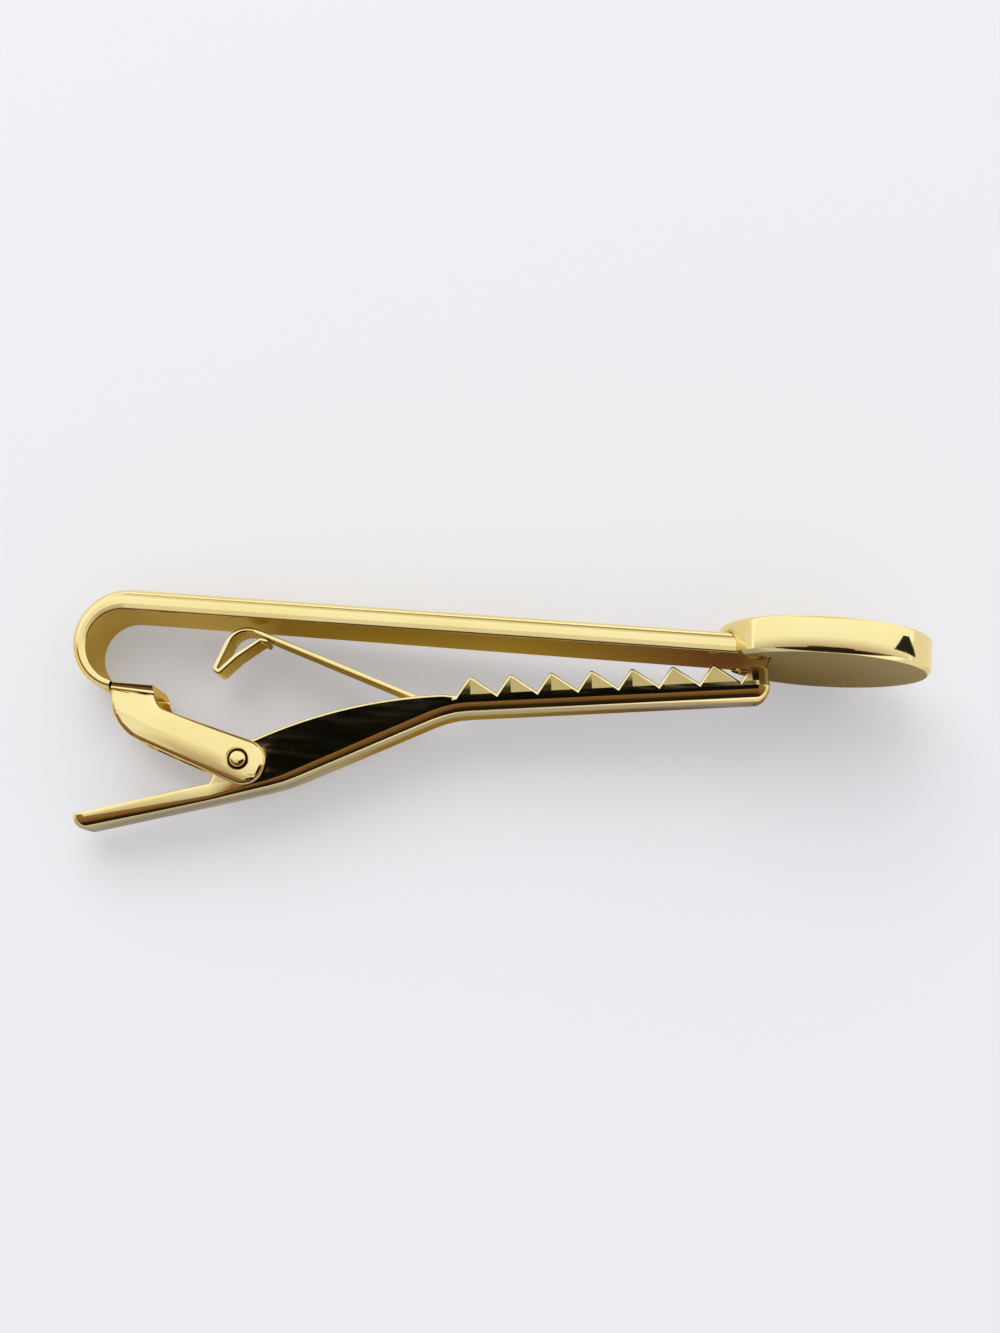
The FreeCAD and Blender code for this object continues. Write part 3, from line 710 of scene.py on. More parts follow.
class TIECLIP_OT_front_bar(Operator):
    """Models the bar, its bend and the tongue at the end of the bend"""

    bl_idname = "tieclip.front_bar"
    bl_label = "Front Bar"

    def execute(self, context):
        sizes = context.scene.clip_bar
        start = home()
        end = start + Vector((sizes.end, 0, 0))
        half = sideways(sizes.wide_at_disc / 2)
        back_half = half - sideways(sizes.thick * math.tan(sizes.side_draft))
        front = Vector((0, sizes.thick, 0))
        crown = (half + front + back_half) / 2 + sideways(sizes.side_crown)
        section = rounded(
            [
                (end + back_half, sizes.edge_round),
                (end + crown, 0),
                (end + half + front, sizes.front_round),
                (end - half + front, sizes.front_round),
                (end + front - crown, 0),
                (end - back_half, sizes.edge_round),
            ]
        )
        bar = trace("bar_strip", section)
        bend_middle = start + Vector((sizes.bend_along, -sizes.bend_radius, 0))
        extrude(Vector((sizes.bend_along - sizes.end, 0, 0)))
        narrowing = sizes.wide_at_bend / sizes.wide_at_disc
        bpy.ops.transform.resize(value=(1, 1, narrowing), center_override=bend_middle)
        self.turn_bend(bar, sizes, bend_middle)
        self.draw_tongue(bar, sizes, bend_middle)
        finish_mesh()
        soften(bar, 0)
        dress(bar, polished_gold("gold_bar"), "frame", "front_bar")
        return {"FINISHED"}

    def turn_bend(self, bar, sizes, middle):
        """Turns the strip back in small steps while it thins and narrows."""

        def at(share, first, last):
            return first + (last - first) * share

        thicks = (sizes.thick, sizes.bend_end_thick)
        widths = (sizes.wide_at_bend, sizes.bend_end_wide)
        steps = sizes.bend_steps
        for step in range(steps):
            before = step / steps
            after = (step + 1) / steps
            old_way = heading(math.pi / 2 + sizes.bend_turn * before)
            new_way = heading(math.pi / 2 + sizes.bend_turn * after)
            thinner = at(after, *thicks) / at(before, *thicks)
            narrower = at(after, *widths) / at(before, *widths)
            extrude()

            def turned(point):
                out = (point - middle).dot(old_way) - sizes.bend_radius
                reach = sizes.bend_radius + out * thinner
                return middle + new_way * reach + sideways((point.z - middle.z) * narrower)

            reshape(bar, turned)

    def draw_tongue(self, bar, sizes, middle):
        """Draws the middle of the strip's end out into a narrow tongue."""
        tangent = square(heading(math.pi / 2 + sizes.bend_turn))

        def on_end(face):
            ahead = (face.calc_center_median() - middle).dot(tangent)
            return face.normal.dot(tangent) > 0.99 and abs(ahead) < CLOSE

        def on_tongue(face):
            return on_end(face) and same(face.calc_center_median().z, middle.z, sizes.tongue_wide / 4)

        for side in (1, -1):
            pick(bar, "FACE", on_end)
            bisect(middle + sideways(side * sizes.tongue_wide / 2), (0, 0, 1))
        pick(bar, "FACE", on_tongue)
        steps = 4
        rest = (math.pi - sizes.bend_turn) / steps
        thinner = (bpy.context.scene.clip_bracket.sheet / sizes.bend_end_thick) ** (1 / steps)

        def turned(point):
            offset = Matrix.Rotation(rest, 3, "Z") @ (point - middle)
            out = Vector((offset.x, offset.y, 0))
            reach = sizes.bend_radius + (out.length - sizes.bend_radius) * thinner
            return middle + out.normalized() * reach + sideways(offset.z)

        for _ in range(steps):
            extrude()
            reshape(bar, turned)
        extrude(Vector((sizes.tongue_length, 0, 0)))


class TIECLIP_OT_emblem_disc(Operator):
    """Models the round disc with its bevelled satin back and sunk plain front"""

    bl_idname = "tieclip.emblem_disc"
    bl_label = "Disc"

    def execute(self, context):
        sizes = context.scene.clip_disc
        bar = context.scene.clip_bar
        finish = context.scene.clip_finish
        low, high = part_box("emblem_disc")
        middle = (low + high) / 2
        radius = (high.z - low.z) / 2
        disc = new_piece(
            "disc_turned",
            bpy.ops.mesh.primitive_cylinder_add,
            vertices=sizes.sides,
            radius=radius,
            depth=high.y - low.y,
            location=middle,
            rotation=(math.pi / 2, 0, 0),
        )
        pick(disc, "FACE", lambda face: face.normal.y > 0.9)
        bpy.ops.mesh.inset(thickness=sizes.border)
        extrude(Vector((0, -sizes.field_depth, 0)))

        def rim_at(height):
            def on_rim(vertex):
                return same(vertex.co.y, height) and (vertex.co - middle).xz.length > radius - CLOSE

            return lambda edge: all(on_rim(vertex) for vertex in edge.verts)

        round_edges(disc, sizes.front_round, 6, rim_at(high.y))
        round_edges(disc, sizes.back_bevel * math.sqrt(2), 1, rim_at(low.y), offset_type="WIDTH")
        finish_mesh()
        gap = sizes.solder_gap
        slot_low = Vector((low.x - MM, low.y - MM, middle.z - bar.wide_at_disc / 2 - gap))
        slot_high = home() + Vector((bar.end + gap, bar.thick + gap, bar.wide_at_disc / 2 + gap))
        self.cut_slot(disc, slot_low, slot_high, bar.front_round)
        soften(disc, 0.05 * MM, 2, math.radians(30))
        dress(disc, polished_gold("gold_disc"), "frame", "emblem_disc")
        disc.data.materials.append(plated("gold_disc_back", finish.back_gold, finish.back_gold, SATIN))
        for face in disc.data.polygons:
            if face.normal.y < -0.99 and same(face.center.y, low.y, CLOSE):
                face.material_index = 1
        return {"FINISHED"}

    def cut_slot(self, disc, low, high, radius):
        """Cuts the slot that takes the bar, and parts the faces round it so that none reaches across."""
        cutter = new_piece(
            "slot_cutter",
            bpy.ops.mesh.primitive_cube_add,
            size=1,
            location=(low + high) / 2,
            scale=high - low,
        )

        def along_front(edge):
            first, last = edge.verts
            return same(first.co.y, high.y) and same(last.co.y, high.y) and abs(first.co.x - last.co.x) > MM

        round_edges(cutter, radius, 12, along_front)
        finish_mesh()
        cut(disc, cutter)
        bpy.ops.object.mode_set(mode="EDIT")
        part([(high, (1, 0, 0)), (high, (0, 0, 1)), (low, (0, 0, 1))])
        bpy.ops.object.mode_set(mode="OBJECT")


class TIECLIP_OT_hinge_bracket(Operator):
    """Models the bracket: a web with two cheeks folded down from it"""

    bl_idname = "tieclip.hinge_bracket"
    bl_label = "Hinge Bracket"

    def execute(self, context):
        sizes = context.scene.clip_bracket
        box_low, box_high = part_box("hinge_bracket")
        wide = box_high.z - box_low.z
        near = sideways(wide / 2)
        web = home() + Vector((0, -2 * context.scene.clip_bar.bend_radius, 0))
        heel = web + Vector((sizes.web_start, 0, 0)) + near
        web_corner = web + Vector((sizes.web_end, 0, 0)) + near
        pin = PIVOT + near
        top_way = heading(-sizes.top_fall)
        low_way = heading(-sizes.low_fall)
        end_way = heading(-(sizes.top_fall + sizes.low_fall) / 2)
        end_across = square(end_way)
        top_start = above(pin, top_way, sizes.over_pin)
        low_start = above(pin, low_way, -sizes.under_pin)
        end_start = pin + end_way * sizes.past_pin
        throat_way = heading(sizes.throat_lean - math.pi / 2)
        outline = rounded(
            [
                (web_corner, 0),
                (heel, 0),
                (crossing(low_start, low_way, heel, Vector((0, 1, 0))), sizes.heel_round),
                (crossing(low_start, low_way, end_start, end_across), sizes.end_round),
                (crossing(top_start, top_way, end_start, end_across), sizes.end_round),
                (crossing(web_corner, throat_way, top_start, top_way), sizes.throat_round),
            ]
        )
        bracket = trace("bracket_folded", outline)
        lines = [(pin + end_across * (i * sizes.crown_half / 4), end_across) for i in range(-3, 4)]
        lines += [(pin - end_way * (i * sizes.crown_half), end_way) for i in range(-1, 4)]
        part(lines)

        def on_web(edge):
            return all(same(v.co.y, web_corner.y) for v in edge.verts)

        pair_walls(
            bracket,
            wide,
            lambda edge: on_web(edge) and all(same(v.co.z, web_corner.z) for v in edge.verts),
        )
        round_edges(
            bracket,
            sizes.fold_round,
            8,
            lambda edge: on_web(edge) and same(edge.verts[0].co.z, edge.verts[1].co.z),
        )

        def crowned(point):
            off_middle = (point - PIVOT).dot(end_across) / sizes.crown_half
            drop = sizes.crown_drop * min(1.0, off_middle * off_middle)
            return point - sideways(math.copysign(drop, point.z - PIVOT.z))

        pick(bracket, "VERT", lambda vertex: abs(vertex.co.z - PIVOT.z) > wide / 2 - FINE)
        reshape(bracket, crowned)
        bpy.ops.object.mode_set(mode="OBJECT")
        thicken(bracket, sizes.sheet)
        self.round_rims(bracket, sizes, wide)
        self.cut_notch(context, bracket, web)
        self.cut_pin_holes(bracket, sizes.countersink, wide)
        soften(bracket, sizes.edge_round, 2)
        dress(bracket, polished_gold("gold_bracket"), "frame", "hinge_bracket")
        self.darken_pin_holes(bracket, sizes.countersink)
        self.darken_folds(bracket, web_corner)
        return {"FINISHED"}

    def round_rims(self, bracket, sizes, wide):
        """Rounds the cheeks' outer edges widely."""

        def on_outside(face):
            out = abs(face.calc_center_median().z - PIVOT.z)
            return abs(face.normal.z) > 0.98 and out > wide / 2 - sizes.sheet / 2

        def on_rim(edge):
            sides = [on_outside(face) for face in edge.link_faces]
            return len(sides) == 2 and sides[0] != sides[1] and edge.calc_face_angle() > math.radians(60)

        bpy.ops.object.mode_set(mode="EDIT")
        round_edges(bracket, sizes.rim_round, 6, on_rim)
        bpy.ops.object.mode_set(mode="OBJECT")

    def cut_notch(self, context, bracket, web):
        """Cuts the notch that takes the bar's tongue."""
        bar = context.scene.clip_bar
        gap = context.scene.clip_disc.solder_gap
        reach = bar.bend_along + bar.tongue_length + gap
        cutter = new_piece(
            "notch_cutter",
            bpy.ops.mesh.primitive_cube_add,
            size=1,
            location=web + Vector((reach / 2, 0, 0)),
            scale=(reach, 2 * MM, bar.tongue_wide + 2 * gap),
        )
        finish_mesh()
        cut(bracket, cutter)

    def cut_pin_holes(self, bracket, depth, wide):
        """Drills and countersinks both cheeks for the pin."""
        radius = pin_radius()
        cylinder = bpy.ops.mesh.primitive_cylinder_add
        drill = new_piece("drill", cylinder, vertices=64, radius=radius, depth=2 * wide, location=PIVOT)
        finish_mesh()
        cut(bracket, drill)
        for side in (1, -1):
            sink = new_piece(
                "countersink",
                bpy.ops.mesh.primitive_cone_add,
                vertices=64,
                radius1=radius,
                radius2=radius + 2 * depth,
                depth=2 * depth,
                location=PIVOT + sideways(side * wide / 2),
                rotation=(0 if side > 0 else math.pi, 0, 0),
            )
            finish_mesh()
            cut(bracket, sink)

    def darken_pin_holes(self, bracket, depth):
        """Gives the countersinks a finish with painted shade, dark close to the pin."""
        radius = pin_radius()
        pin_shade = pin_shade_gold("gold_pin_shade", radius + depth * 0.45, radius + depth * 0.65)
        bracket.data.materials.append(pin_shade)
        for face in bracket.data.polygons:
            if (face.center - PIVOT).xy.length < radius + depth * 1.1 and abs(face.normal.z) < 0.9:
                face.material_index = 1

    def darken_folds(self, bracket, web_corner):
        """Gives the tops of the web's folds a browner finish: a painted dark reflection."""
        finish = bpy.context.scene.clip_finish
        bracket.data.materials.append(plated("gold_fold_dark_reflection", finish.fold_dark_reflection, finish.fold_dark_reflection, SILKY))
        for face in bracket.data.polygons:
            on_fold = 0.4 < face.normal.y < 0.99 and abs(face.normal.z) > 0.1
            if on_fold and face.center.x < web_corner.x and face.center.y > web_corner.y - MM:
                face.material_index = 2


class TIECLIP_OT_pivot_pin(Operator):
    """Models the cross pin with its two rounded ends"""

    bl_idname = "tieclip.pivot_pin"
    bl_label = "Pivot Pin"

    def execute(self, context):
        low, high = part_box("pivot_pin")
        pin = new_piece(
            "pin_headed",
            bpy.ops.mesh.primitive_cylinder_add,
            vertices=64,
            radius=pin_radius(),
            depth=high.z - low.z,
            location=(low + high) / 2,
        )
        dome = context.scene.clip_pin.dome
        round_edges(pin, dome, 8, lambda edge: same(edge.verts[0].co.z, edge.verts[1].co.z))
        finish_mesh()
        soften(pin, 0)
        dress(pin, polished_gold("gold_pin"), "frame", "pivot_pin")
        return {"FINISHED"}


class TIECLIP_OT_jaw(Operator):
    """Models the jaw: a pressed tray with a finger tab, two ears and toothed walls"""

    bl_idname = "tieclip.jaw"
    bl_label = "Jaw"

    def execute(self, context):
        sizes = context.scene.clip_jaw
        self.lay_out(sizes)
        near = sideways(sizes.wide / 2)
        jaw = trace("jaw_pressed", [point + near for point in self.wall_outline(sizes)])
        self.part_wall(sizes)
        pair_walls(
            jaw,
            sizes.wide,
            lambda edge: edge.is_boundary
            and all(v.co.z > PIVOT.z and self.on_underside(sizes, v.co) for v in edge.verts),
        )
        self.round_folds(jaw, sizes)
        select_all()
        bpy.ops.mesh.inset(thickness=sizes.border_wide, use_boundary=True)
        self.crease_roots(jaw, sizes)
        self.flare_walls(jaw, sizes)
        self.turn_border(jaw, sizes)
        bpy.ops.object.mode_set(mode="OBJECT")
        thicken(jaw, sizes.sheet)
        soften(jaw, sizes.edge_round, clamp=False)
        dress(jaw, polished_gold("gold_jaw"), "jaw", "jaw")
        self.dull_teeth(jaw, sizes)
        return {"FINISHED"}

    def lay_out(self, sizes):
        """Works out the corners of the jaw's underside and where its teeth start, seen along Z."""
        self.tab_way = heading(sizes.tab_slope)
        self.middle_way = heading(sizes.middle_slope)
        self.tooth_way = heading(sizes.tooth_slope)
        self.tooth_up = square(self.tooth_way)
        self.knee, self.crown = jaw_floor(sizes)
        self.tab_end = self.knee - self.tab_way * sizes.tab_length
        self.jaw_end = self.crown + self.tooth_way * sizes.tooth_part_length
        root = above(self.crown, self.tooth_way, sizes.root_height)
        self.first_root = root + self.tooth_way * sizes.root_ahead
        self.root_line = above(self.first_root, self.tooth_way, -sizes.root_lap * 0.8)
        # Where the painted dark reflection on the end tooth starts
        self.end_tooth_shade_start = sizes.tooth_count * sizes.tooth_pitch + sizes.end_tooth_lead * 1.2
        self.ear_back = PIVOT + Vector((-sizes.ear_behind_pin, sizes.ear_over_pin, 0))
        self.rim_end = above(self.tab_end, self.tab_way, sizes.rim_height)
        self.ear_foot = crossing(self.rim_end, self.tab_way, self.ear_back, heading(sizes.ear_back_lean))

    def underside(self, sizes):
        corners = [
            (self.tab_end, 0),
            (self.knee, sizes.knee_round),
            (self.crown, sizes.crown_round),
            (self.jaw_end, 0),
        ]
        return rounded(corners, closed=False)

    def wall_outline(self, sizes):
        """The near wall's outline: underside, end tooth, teeth, wall, ear and rim."""
        way = self.tooth_way
        last_root = self.first_root + way * (sizes.tooth_count * sizes.tooth_pitch)
        end_top = above(last_root, way, sizes.end_tooth_height) + way * sizes.end_tooth_lead
        end_corner = crossing(end_top, way, self.jaw_end, self.tooth_up)
        corners = [(end_corner, 0), (end_top, sizes.tip_round)]
        for i in reversed(range(sizes.tooth_count)):
            root = self.first_root + way * (i * sizes.tooth_pitch)
            back_root = above(root + way * sizes.tooth_pitch, way, -sizes.root_lap)
            tip = above(root + way * sizes.tooth_lead, way, sizes.tooth_height - sizes.root_lap)
            corners += [(back_root, 0), (tip, sizes.tip_round)]
        corners.append((above(self.first_root, way, -sizes.root_lap), 0))
        ear_front = PIVOT + Vector((sizes.ear_ahead_of_pin, sizes.ear_over_pin, 0))
        ear = [
            (ear_front, 0),
            (self.ear_back, sizes.ear_round),
            (self.ear_foot, sizes.ear_round / 2),
            (self.rim_end, 0),
        ]
        return (
            self.underside(sizes)
            + rounded(corners, closed=False)
            + self.swell(self.first_root, ear_front, sizes.wall_swell)
            + rounded(ear, closed=False)
        )

    def swell(self, first, last, rise):
        """Points along the wall's upper edge, which rises a little between its ends."""
        steps = 16
        way = (first - last).normalized()
        shares = [i / steps for i in range(1, steps)]
        return [above(first.lerp(last, share), way, 4 * rise * share * (1 - share)) for share in shares]

    def on_underside(self, sizes, point):
        """Whether a point of the outline lies on the underside or on either end."""
        flat = Vector((point.x, point.y, PIVOT.z))
        path = self.underside(sizes)
        for first, last in zip(path, path[1:]):
            nearest, share = intersect_point_line(flat, first, last)
            if -0.001 < share < 1.001 and (flat - nearest).length < FINE:
                return True
        past_tab = abs((flat - self.tab_end).dot(self.tab_way)) < FINE
        past_teeth = abs((flat - self.jaw_end).dot(self.tooth_way)) < FINE
        return past_tab or past_teeth

    def part_wall(self, sizes):
        """Parts the flat wall where it will bend, and at the roots and tips of its teeth."""
        planes = [(corner, (1, 0, 0)) for corner in (self.ear_foot, PIVOT, self.knee, self.crown)]
        spans = [i * sizes.tooth_pitch for i in range(sizes.tooth_count + 1)]
        spans.append(self.end_tooth_shade_start)
        spans += [i * sizes.tooth_pitch + sizes.tooth_lead for i in range(sizes.shade_sided_teeth)]
        planes += [(self.first_root + self.tooth_way * span, self.tooth_way) for span in spans]
        part(planes)

    def round_folds(self, jaw, sizes):
        """Rounds the upright corners of both ends, then the fold all round the floor."""

        def is_floor(face):
            return abs(face.normal.z) < 0.3 and face.normal.y < -0.5

        def is_corner(edge):
            across = [abs(face.normal.z) > 0.9 for face in edge.link_faces]
            floor = any(is_floor(face) for face in edge.link_faces)
            return len(across) == 2 and across[0] != across[1] and not floor

        def is_fold(edge):
            floors = [is_floor(face) for face in edge.link_faces]
            return len(floors) == 2 and floors[0] != floors[1]

        round_edges(jaw, sizes.corner_round, 8, is_corner)
        round_edges(jaw, sizes.fold_round, 8, is_fold)

    def crease_roots(self, jaw, sizes):
        """Creases both walls along the tooth roots, and the teeth with a painted dark reflection along their
        middle.
        """

        def is_toothed(face):
            middle = face.calc_center_median()
            return middle.x > self.first_root.x and abs(middle.z - PIVOT.z) > sizes.wide / 2 - CLOSE

        def is_crease(edge):
            spans = [(v.co - self.root_line).dot(self.tooth_way) for v in edge.verts]
            heights = [(v.co - self.root_line).dot(self.tooth_up) for v in edge.verts]
            if edge.is_boundary or min(spans) < -CLOSE:
                return False
            if max(heights) < FINE:
                return min(heights) > -3 * sizes.border_wide
            tooth, ahead = divmod(sum(spans) / 2, sizes.tooth_pitch)
            upright = same(*spans) and min(heights) > -FINE
            return tooth < sizes.shade_sided_teeth and upright and same(ahead, sizes.tooth_lead, CLOSE)

        pick(jaw, "FACE", is_toothed)
        bisect(self.root_line, self.tooth_up)
        pick(jaw, "EDGE", is_crease)
        bpy.ops.mesh.mark_sharp()

    def height(self, point):
        """How high a point lies over the nearest straight of the underside."""
        flat = Vector((point.x, point.y, PIVOT.z))
        over_tab = (flat - self.knee).dot(square(self.tab_way))
        over_middle = (flat - self.knee).dot(square(self.middle_way))
        if point.x > self.crown.x:
            return max(0.0, (flat - self.crown).dot(self.tooth_up))
        return max(0.0, min(over_tab, over_middle) if point.x < self.knee.x else over_middle)

    def tightened(self, sizes, point):
        """Where a point of the fold goes when the fold is tightened along the tab."""
        half = sizes.wide / 2
        fold = sizes.fold_round
        height = self.height(point)
        across = abs(point.z - PIVOT.z)
        if height >= fold or across <= half - fold:
            return point
        past_end = ((point - self.tab_end).dot(self.tab_way) - fold) / fold
        wall_start = self.knee.x + sizes.knee_ahead
        to_wall = (wall_start - point.x) / (wall_start - self.ear_foot.x)
        share = min(1.0, max(0.0, past_end)) * min(1.0, max(0.0, to_wall))
        scale = 1 - (1 - sizes.tab_fold_share) * share
        moved = above(point, self.tab_way, height * (scale - 1))
        moved.z = PIVOT.z + math.copysign(half - (half - across) * scale, point.z - PIVOT.z)
        return moved

    def flare_walls(self, jaw, sizes):
        """Leans the tab's rims in, the walls past the pin out, and the teeth back in."""
        lean = math.tan(sizes.tooth_lean)
        half = sizes.wide / 2

        def flared(place):
            point = self.tightened(sizes, place)
            height = self.height(point)
            share = min(1.0, max(0.0, (point.x - self.ear_foot.x) / (PIVOT.x - self.ear_foot.x)))
            spread = math.tan(sizes.flare * share - sizes.tab_lean * (1 - share))
            over_root = max(0.0, height - sizes.root_height) if point.x > self.first_root.x else 0.0
            wider = 1 + (height * spread - over_root * lean) / half
            return Vector((point.x, point.y, PIVOT.z + (point.z - PIVOT.z) * wider))

        select_all()
        reshape(jaw, flared)

    def turn_border(self, jaw, sizes):
        """Turns a narrow border down along the cut edges of both walls."""

        def turned_down(point):
            return point - sideways(math.copysign(sizes.border_drop, point.z - PIVOT.z))

        pick(jaw, "VERT", lambda vertex: vertex.is_boundary and abs(vertex.co.z - PIVOT.z) > sizes.wide / 4)
        reshape(jaw, turned_down)

    def dull_teeth(self, jaw, sizes):
        """Gives the teeth's flanks a duller plate, with a painted dark reflection on the left of the first
        teeth and past the end tooth's tip.
        """
        finish = bpy.context.scene.clip_finish
        jaw.data.materials.append(plated("gold_teeth", finish.teeth, finish.teeth, PRESSED))
        teeth_shade_plate = teeth_shade_gold("gold_teeth_shade", self.root_line, self.tooth_up, sizes.tooth_height)
        jaw.data.materials.append(teeth_shade_plate)
        for face in jaw.data.polygons:
            away = face.center - self.root_line
            along = away.dot(self.tooth_way)
            outward = math.copysign(1, face.center.z - PIVOT.z) * face.normal.z
            if away.dot(self.tooth_up) < 0 or along < 0 or outward < 0.985:
                continue
            tooth, ahead = divmod(along, sizes.tooth_pitch)
            # The left halves of the first teeth and the end tooth past its tip get a painted dark reflection
            painted_dark = ahead < sizes.tooth_lead and tooth < sizes.shade_sided_teeth or along > self.end_tooth_shade_start
            face.material_index = 2 if painted_dark else 1


class TIECLIP_OT_leaf_spring(Operator):
    """Models the leaf spring: a strip with a foot, a long arm, a hump and a loop"""

    bl_idname = "tieclip.leaf_spring"
    bl_label = "Leaf Spring"

    def execute(self, context):
        sizes = context.scene.clip_spring
        jaw = context.scene.clip_jaw
        half = sizes.thick / 2
        tooth_way = heading(jaw.tooth_slope)
        arm_way = heading(math.pi - sizes.fall)
        leg_way = heading(math.pi + sizes.loop_lean)
        hump_level = home().y - sizes.hump_gap - half - sizes.hump_round
        hump_middle = Vector((PIVOT.x - sizes.hump_behind_pin, hump_level, PIVOT.z))
        arm_start = above(hump_middle, arm_way, -sizes.hump_round)
        leg_start = above(hump_middle, leg_way, -sizes.hump_round)
        foot_start = above(jaw_floor(jaw)[1], tooth_way, jaw.sheet + half)
        hump = crossing(arm_start, arm_way, leg_start, leg_way)
        foot = crossing(arm_start, arm_way, foot_start, tooth_way)
        tip = hump + leg_way * sizes.loop_length
        turn = tip + heading(-sizes.tip_lean) * sizes.tip_wide
        back = turn + heading(sizes.back_lean) * sizes.back_length
        loop_end = above(arm_start, arm_way, sizes.thick + sizes.end_gap) - arm_way * sizes.end_ahead
        path = rounded(
            [
                (foot + tooth_way * sizes.foot_length, 0),
                (foot, sizes.foot_bend_round),
                (hump, sizes.hump_round),
                (tip, sizes.tip_round),
                (turn, sizes.tip_round),
                (back, sizes.back_round),
                (loop_end, sizes.strand_lap / 2),
                (loop_end - arm_way * sizes.strand_lap, 0),
            ],
            closed=False,
        )
        near = sideways(sizes.wide / 2)
        spring = trace("spring_strip", [point + near for point in path], closed=False)
        extrude(sideways(-sizes.wide))
        finish_mesh()
        thicken(spring, sizes.thick, offset=0)
        soften(spring, sizes.edge_round, 2)
        dress(spring, polished_gold("gold_spring"), "jaw", "leaf_spring")
        return {"FINISHED"}


class TIECLIP_OT_stage(Operator):
    """Sets up the floor, the soft light and the camera"""

    bl_idname = "tieclip.stage"
    bl_label = "Stage"

    def execute(self, context):
        settings = context.scene.clip_stage
        self.lay_floor(context, settings)
        self.hang_lamp(settings)
        self.hang_cards(settings)
        self.light_world(context)
        self.place_camera(context, settings)
        context.scene.view_settings.view_transform = "Standard"
        return {"FINISHED"}

    def lay_floor(self, context, settings):
        """A pale floor that touches the disc's rim and the bend, so it slopes along the bar."""
        disc_low, disc_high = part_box("emblem_disc")
        bar_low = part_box("front_bar")[0]
        bend_low = PIVOT.z - context.scene.clip_bar.wide_at_bend / 2
        rest = Vector(((disc_low.x + disc_high.x) / 2, 0, disc_low.z))
        slope = math.atan2(bend_low - rest.z, rest.x - bar_low.x)
        plane = bpy.ops.mesh.primitive_plane_add
        span = settings.floor_span
        floor = new_piece("pale_floor", plane, size=span, location=rest, rotation=(0, slope, 0))
        finish_mesh()
        material, tree, shader = new_material("pale_floor")
        finish = context.scene.clip_finish
        in_metal = source(tree, "LightPath", "Is Glossy Ray")
        mirrored, dimming = self.mirrored_floor(tree, finish)
        inputs = {
            "Base Color": mixed(tree, in_metal, opaque(finish.floor), mirrored),
            # The painted glow lifts the floor's shadows; glossy rays see it dimmed near the clip
            "Emission Color": opaque(finish.floor_painted_glow),
            "Emission Strength": worked_out(tree, "MULTIPLY_ADD", in_metal, dimming, 1.0),
            "Roughness": 0.9,
            "Specular IOR Level": 0.1,
        }
        feed(tree, shader, inputs)
        floor.data.materials.append(material)

    def mirrored_floor(self, tree, finish):
        """The floor's tone in polished metal, a painted reflection with painted shade, warm and dim under the
        clip, and how far its painted glow is dimmed.
        """
        bar_low, bar_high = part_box("front_bar")
        jaw_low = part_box("jaw")[0]
        middle = Vector(((bar_low.x + bar_high.x) / 2, (jaw_low.y + 2 * bar_high.y) / 3, 0))
        reach = Vector(((bar_high.x - bar_low.x) * 0.75, 6 * MM, 1))
        place = source(tree, "TexCoord", "Object")
        inputs = {
            "Vector": place,
            "Location": (-middle.x / reach.x, -middle.y / reach.y, 0),
            "Scale": (1 / reach.x, 1 / reach.y, 0),
        }
        from_middle = add(tree, "Mapping", inputs).outputs["Vector"]
        away = worked_out(tree, "DIVIDE", vector_math(tree, "LENGTH", "Value", from_middle), 10.0)
        stops = (
            (FLOOR_SHADE_ENDS, finish.floor_shade_under_clip),
            (FLOOR_NEAR_STARTS, finish.floor_in_metal),
            (FLOOR_NEAR_ENDS, finish.floor_in_metal),
            (FLOOR_FAR_STARTS, finish.floor_far_off),
        )
        tone = self.shaded_floor(tree, finish, place, away, ramp(tree, away, stops))
        return tone, ranged(tree, away, FLOOR_NEAR_ENDS, FLOOR_FAR_STARTS, -1.0, 0.0)

    def shaded_floor(self, tree, finish, place, away, tone):
        """Paints shade into the mirrored floor: darkens it where the jaw nears the bar, warms it in the bend,
        and greys it past the jaw.
        """
        jaw_low, jaw_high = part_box("jaw")
        axes = add(tree, "SeparateXYZ", {"Vector": place}).outputs
        near = ranged(tree, away, FLOOR_NEAR_STARTS, FLOOR_SHADE_ENDS)
        narrow = ranged(tree, axes["X"], 0, jaw_high.x - 4 * MM)
        before_disc = ranged(tree, axes["X"], jaw_high.x + 2 * MM, jaw_high.x - 2 * MM)
        in_loop = ranged(tree, axes["X"], PIVOT.x + MM, PIVOT.x - 2 * MM)
        jaw_line = jaw_low.y - JAW_RISE * jaw_low.x
        over_jaw = worked_out(tree, "MULTIPLY_ADD", axes["X"], -JAW_RISE, axes["Y"])
        past_jaw = ranged(tree, over_jaw, jaw_line + MM / 2, jaw_line - MM / 2)
        for shares, shade in (
            ((near, in_loop), finish.floor_warm_shade_in_loop),
            ((near, narrow, before_disc), finish.floor_shade_by_disc),
            ((past_jaw, before_disc), finish.floor_shade_past_jaw),
        ):
            tone = mixed(tree, product(tree, *shares), tone, opaque(shade))
        return tone

    def hang_lamp(self, settings):
        """One large soft lamp behind the bar."""
        bpy.ops.object.light_add(type="AREA", location=settings.lamp_place)
        lamp = bpy.context.object
        lamp.name = "soft_lamp"
        lamp.data.shape = "DISK"
        lamp.data.size = settings.lamp_size
        lamp.data.energy = settings.lamp_power
        lamp.visible_glossy = False
        lamp.rotation_euler = (-lamp.location).to_track_quat("-Z", "Y").to_euler()

    def hang_cards(self, settings):
        """Dark cards that only polished metal sees: one by the camera, one standing right of the disc."""
        by_camera = Vector(settings.camera_place) + Vector(settings.camera_card_shift)
        self.hang_card("camera_card", by_camera, (0.126, 0.075, 1), turn=0, tone=0.004)
        disc_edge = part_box("emblem_disc")[1].x
        by_disc = Vector(settings.side_card_place) + Vector((disc_edge, 0, 0))
        upright = math.pi / 2
        self.hang_card("side_card", by_disc, (0.042, 0.0104, 1), turn=upright, tone=0.02, taper=0.25)

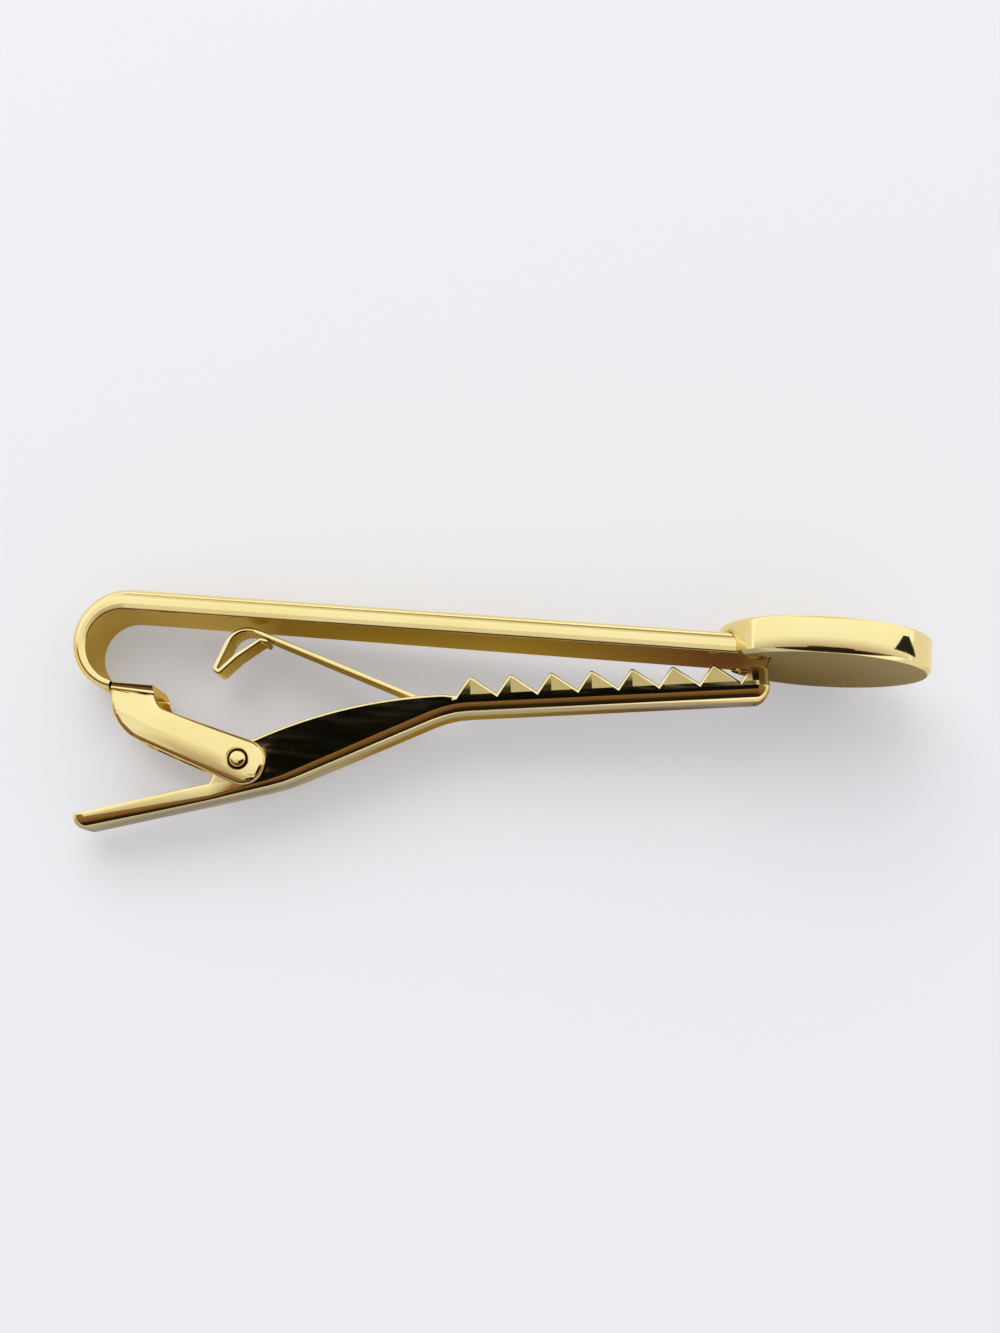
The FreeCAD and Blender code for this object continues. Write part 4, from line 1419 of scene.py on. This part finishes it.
    def hang_card(self, name, place, scale, turn, tone, taper=1.0):
        plane = bpy.ops.mesh.primitive_plane_add
        card = new_piece(name, plane, scale, size=1, location=place, rotation=(0, turn, 0))
        pick(card, "VERT", lambda vertex: vertex.co.y > place.y)
        bpy.ops.transform.resize(value=(taper, 1, taper), center_override=place)
        finish_mesh()
        material, tree, shader = new_material(name)
        inputs = {"Base Color": (tone, tone, tone, 1.0), "Roughness": 1.0, "Specular IOR Level": 0.0}
        feed(tree, shader, inputs)
        card.data.materials.append(material)
        card.visible_camera = False
        card.visible_diffuse = False
        card.visible_shadow = False

    def light_world(self, context):
        """An even pale room for the floor; polished metal sees it bright behind the bar and dim before it."""
        world = bpy.data.worlds.new("soft_room")
        context.scene.world = world
        world.use_nodes = True
        tree = world.node_tree
        axes = add(tree, "SeparateXYZ", {"Vector": source(tree, "TexCoord", "Generated")}).outputs
        room_in_metal = ramp(tree, ranged(tree, axes["Y"], -1.0, 1.0), ROOM_IN_METAL)
        in_metal = source(tree, "LightPath", "Is Glossy Ray")
        room = mixed(tree, in_metal, opaque(context.scene.clip_finish.room), room_in_metal)
        feed(tree, tree.nodes["Background"], {"Color": room})

    def place_camera(self, context, settings):
        place = Vector(settings.camera_place)
        back = (place - Vector(settings.camera_aim)).normalized()
        up = back.cross(heading(settings.camera_roll)).normalized()
        right = up.cross(back)
        bpy.ops.object.camera_add(location=place)
        camera = bpy.context.object
        camera.name = "photo_camera"
        camera.data.lens = settings.camera_lens
        camera.data.clip_start = 1 * MM
        camera.rotation_euler = Matrix((right, up, back)).transposed().to_euler()
        context.scene.camera = camera


class TIECLIP_PT_builder(Panel):
    """Lists the tie clip's pieces and the stage"""

    bl_label = "Tie Clip"
    bl_idname = "TIECLIP_PT_builder"
    bl_space_type = "VIEW_3D"
    bl_region_type = "UI"
    bl_category = "Tie Clip"

    def draw(self, context):
        for operator in OPERATORS:
            self.layout.operator(operator.bl_idname)


GROUPS = {
    "clip_bar": BarSizes,
    "clip_disc": DiscSizes,
    "clip_bracket": BracketSizes,
    "clip_pin": PinSizes,
    "clip_jaw": JawSizes,
    "clip_spring": SpringSizes,
    "clip_finish": FinishColours,
    "clip_stage": StageSettings,
}
OPERATORS = (
    TIECLIP_OT_front_bar,
    TIECLIP_OT_emblem_disc,
    TIECLIP_OT_hinge_bracket,
    TIECLIP_OT_pivot_pin,
    TIECLIP_OT_jaw,
    TIECLIP_OT_leaf_spring,
    TIECLIP_OT_stage,
)


def register():
    for name, group in GROUPS.items():
        bpy.utils.register_class(group)
        setattr(bpy.types.Scene, name, PointerProperty(type=group))
    for operator in OPERATORS:
        bpy.utils.register_class(operator)
    bpy.utils.register_class(TIECLIP_PT_builder)


def unregister():
    bpy.utils.unregister_class(TIECLIP_PT_builder)
    for operator in reversed(OPERATORS):
        bpy.utils.unregister_class(operator)
    for name, group in GROUPS.items():
        delattr(bpy.types.Scene, name)
        bpy.utils.unregister_class(group)


def main():
    register()
    bpy.ops.tieclip.front_bar()
    bpy.ops.tieclip.emblem_disc()
    bpy.ops.tieclip.hinge_bracket()
    bpy.ops.tieclip.pivot_pin()
    bpy.ops.tieclip.jaw()
    bpy.ops.tieclip.leaf_spring()
    bpy.ops.tieclip.stage()


if __name__ == "__main__":
    main()
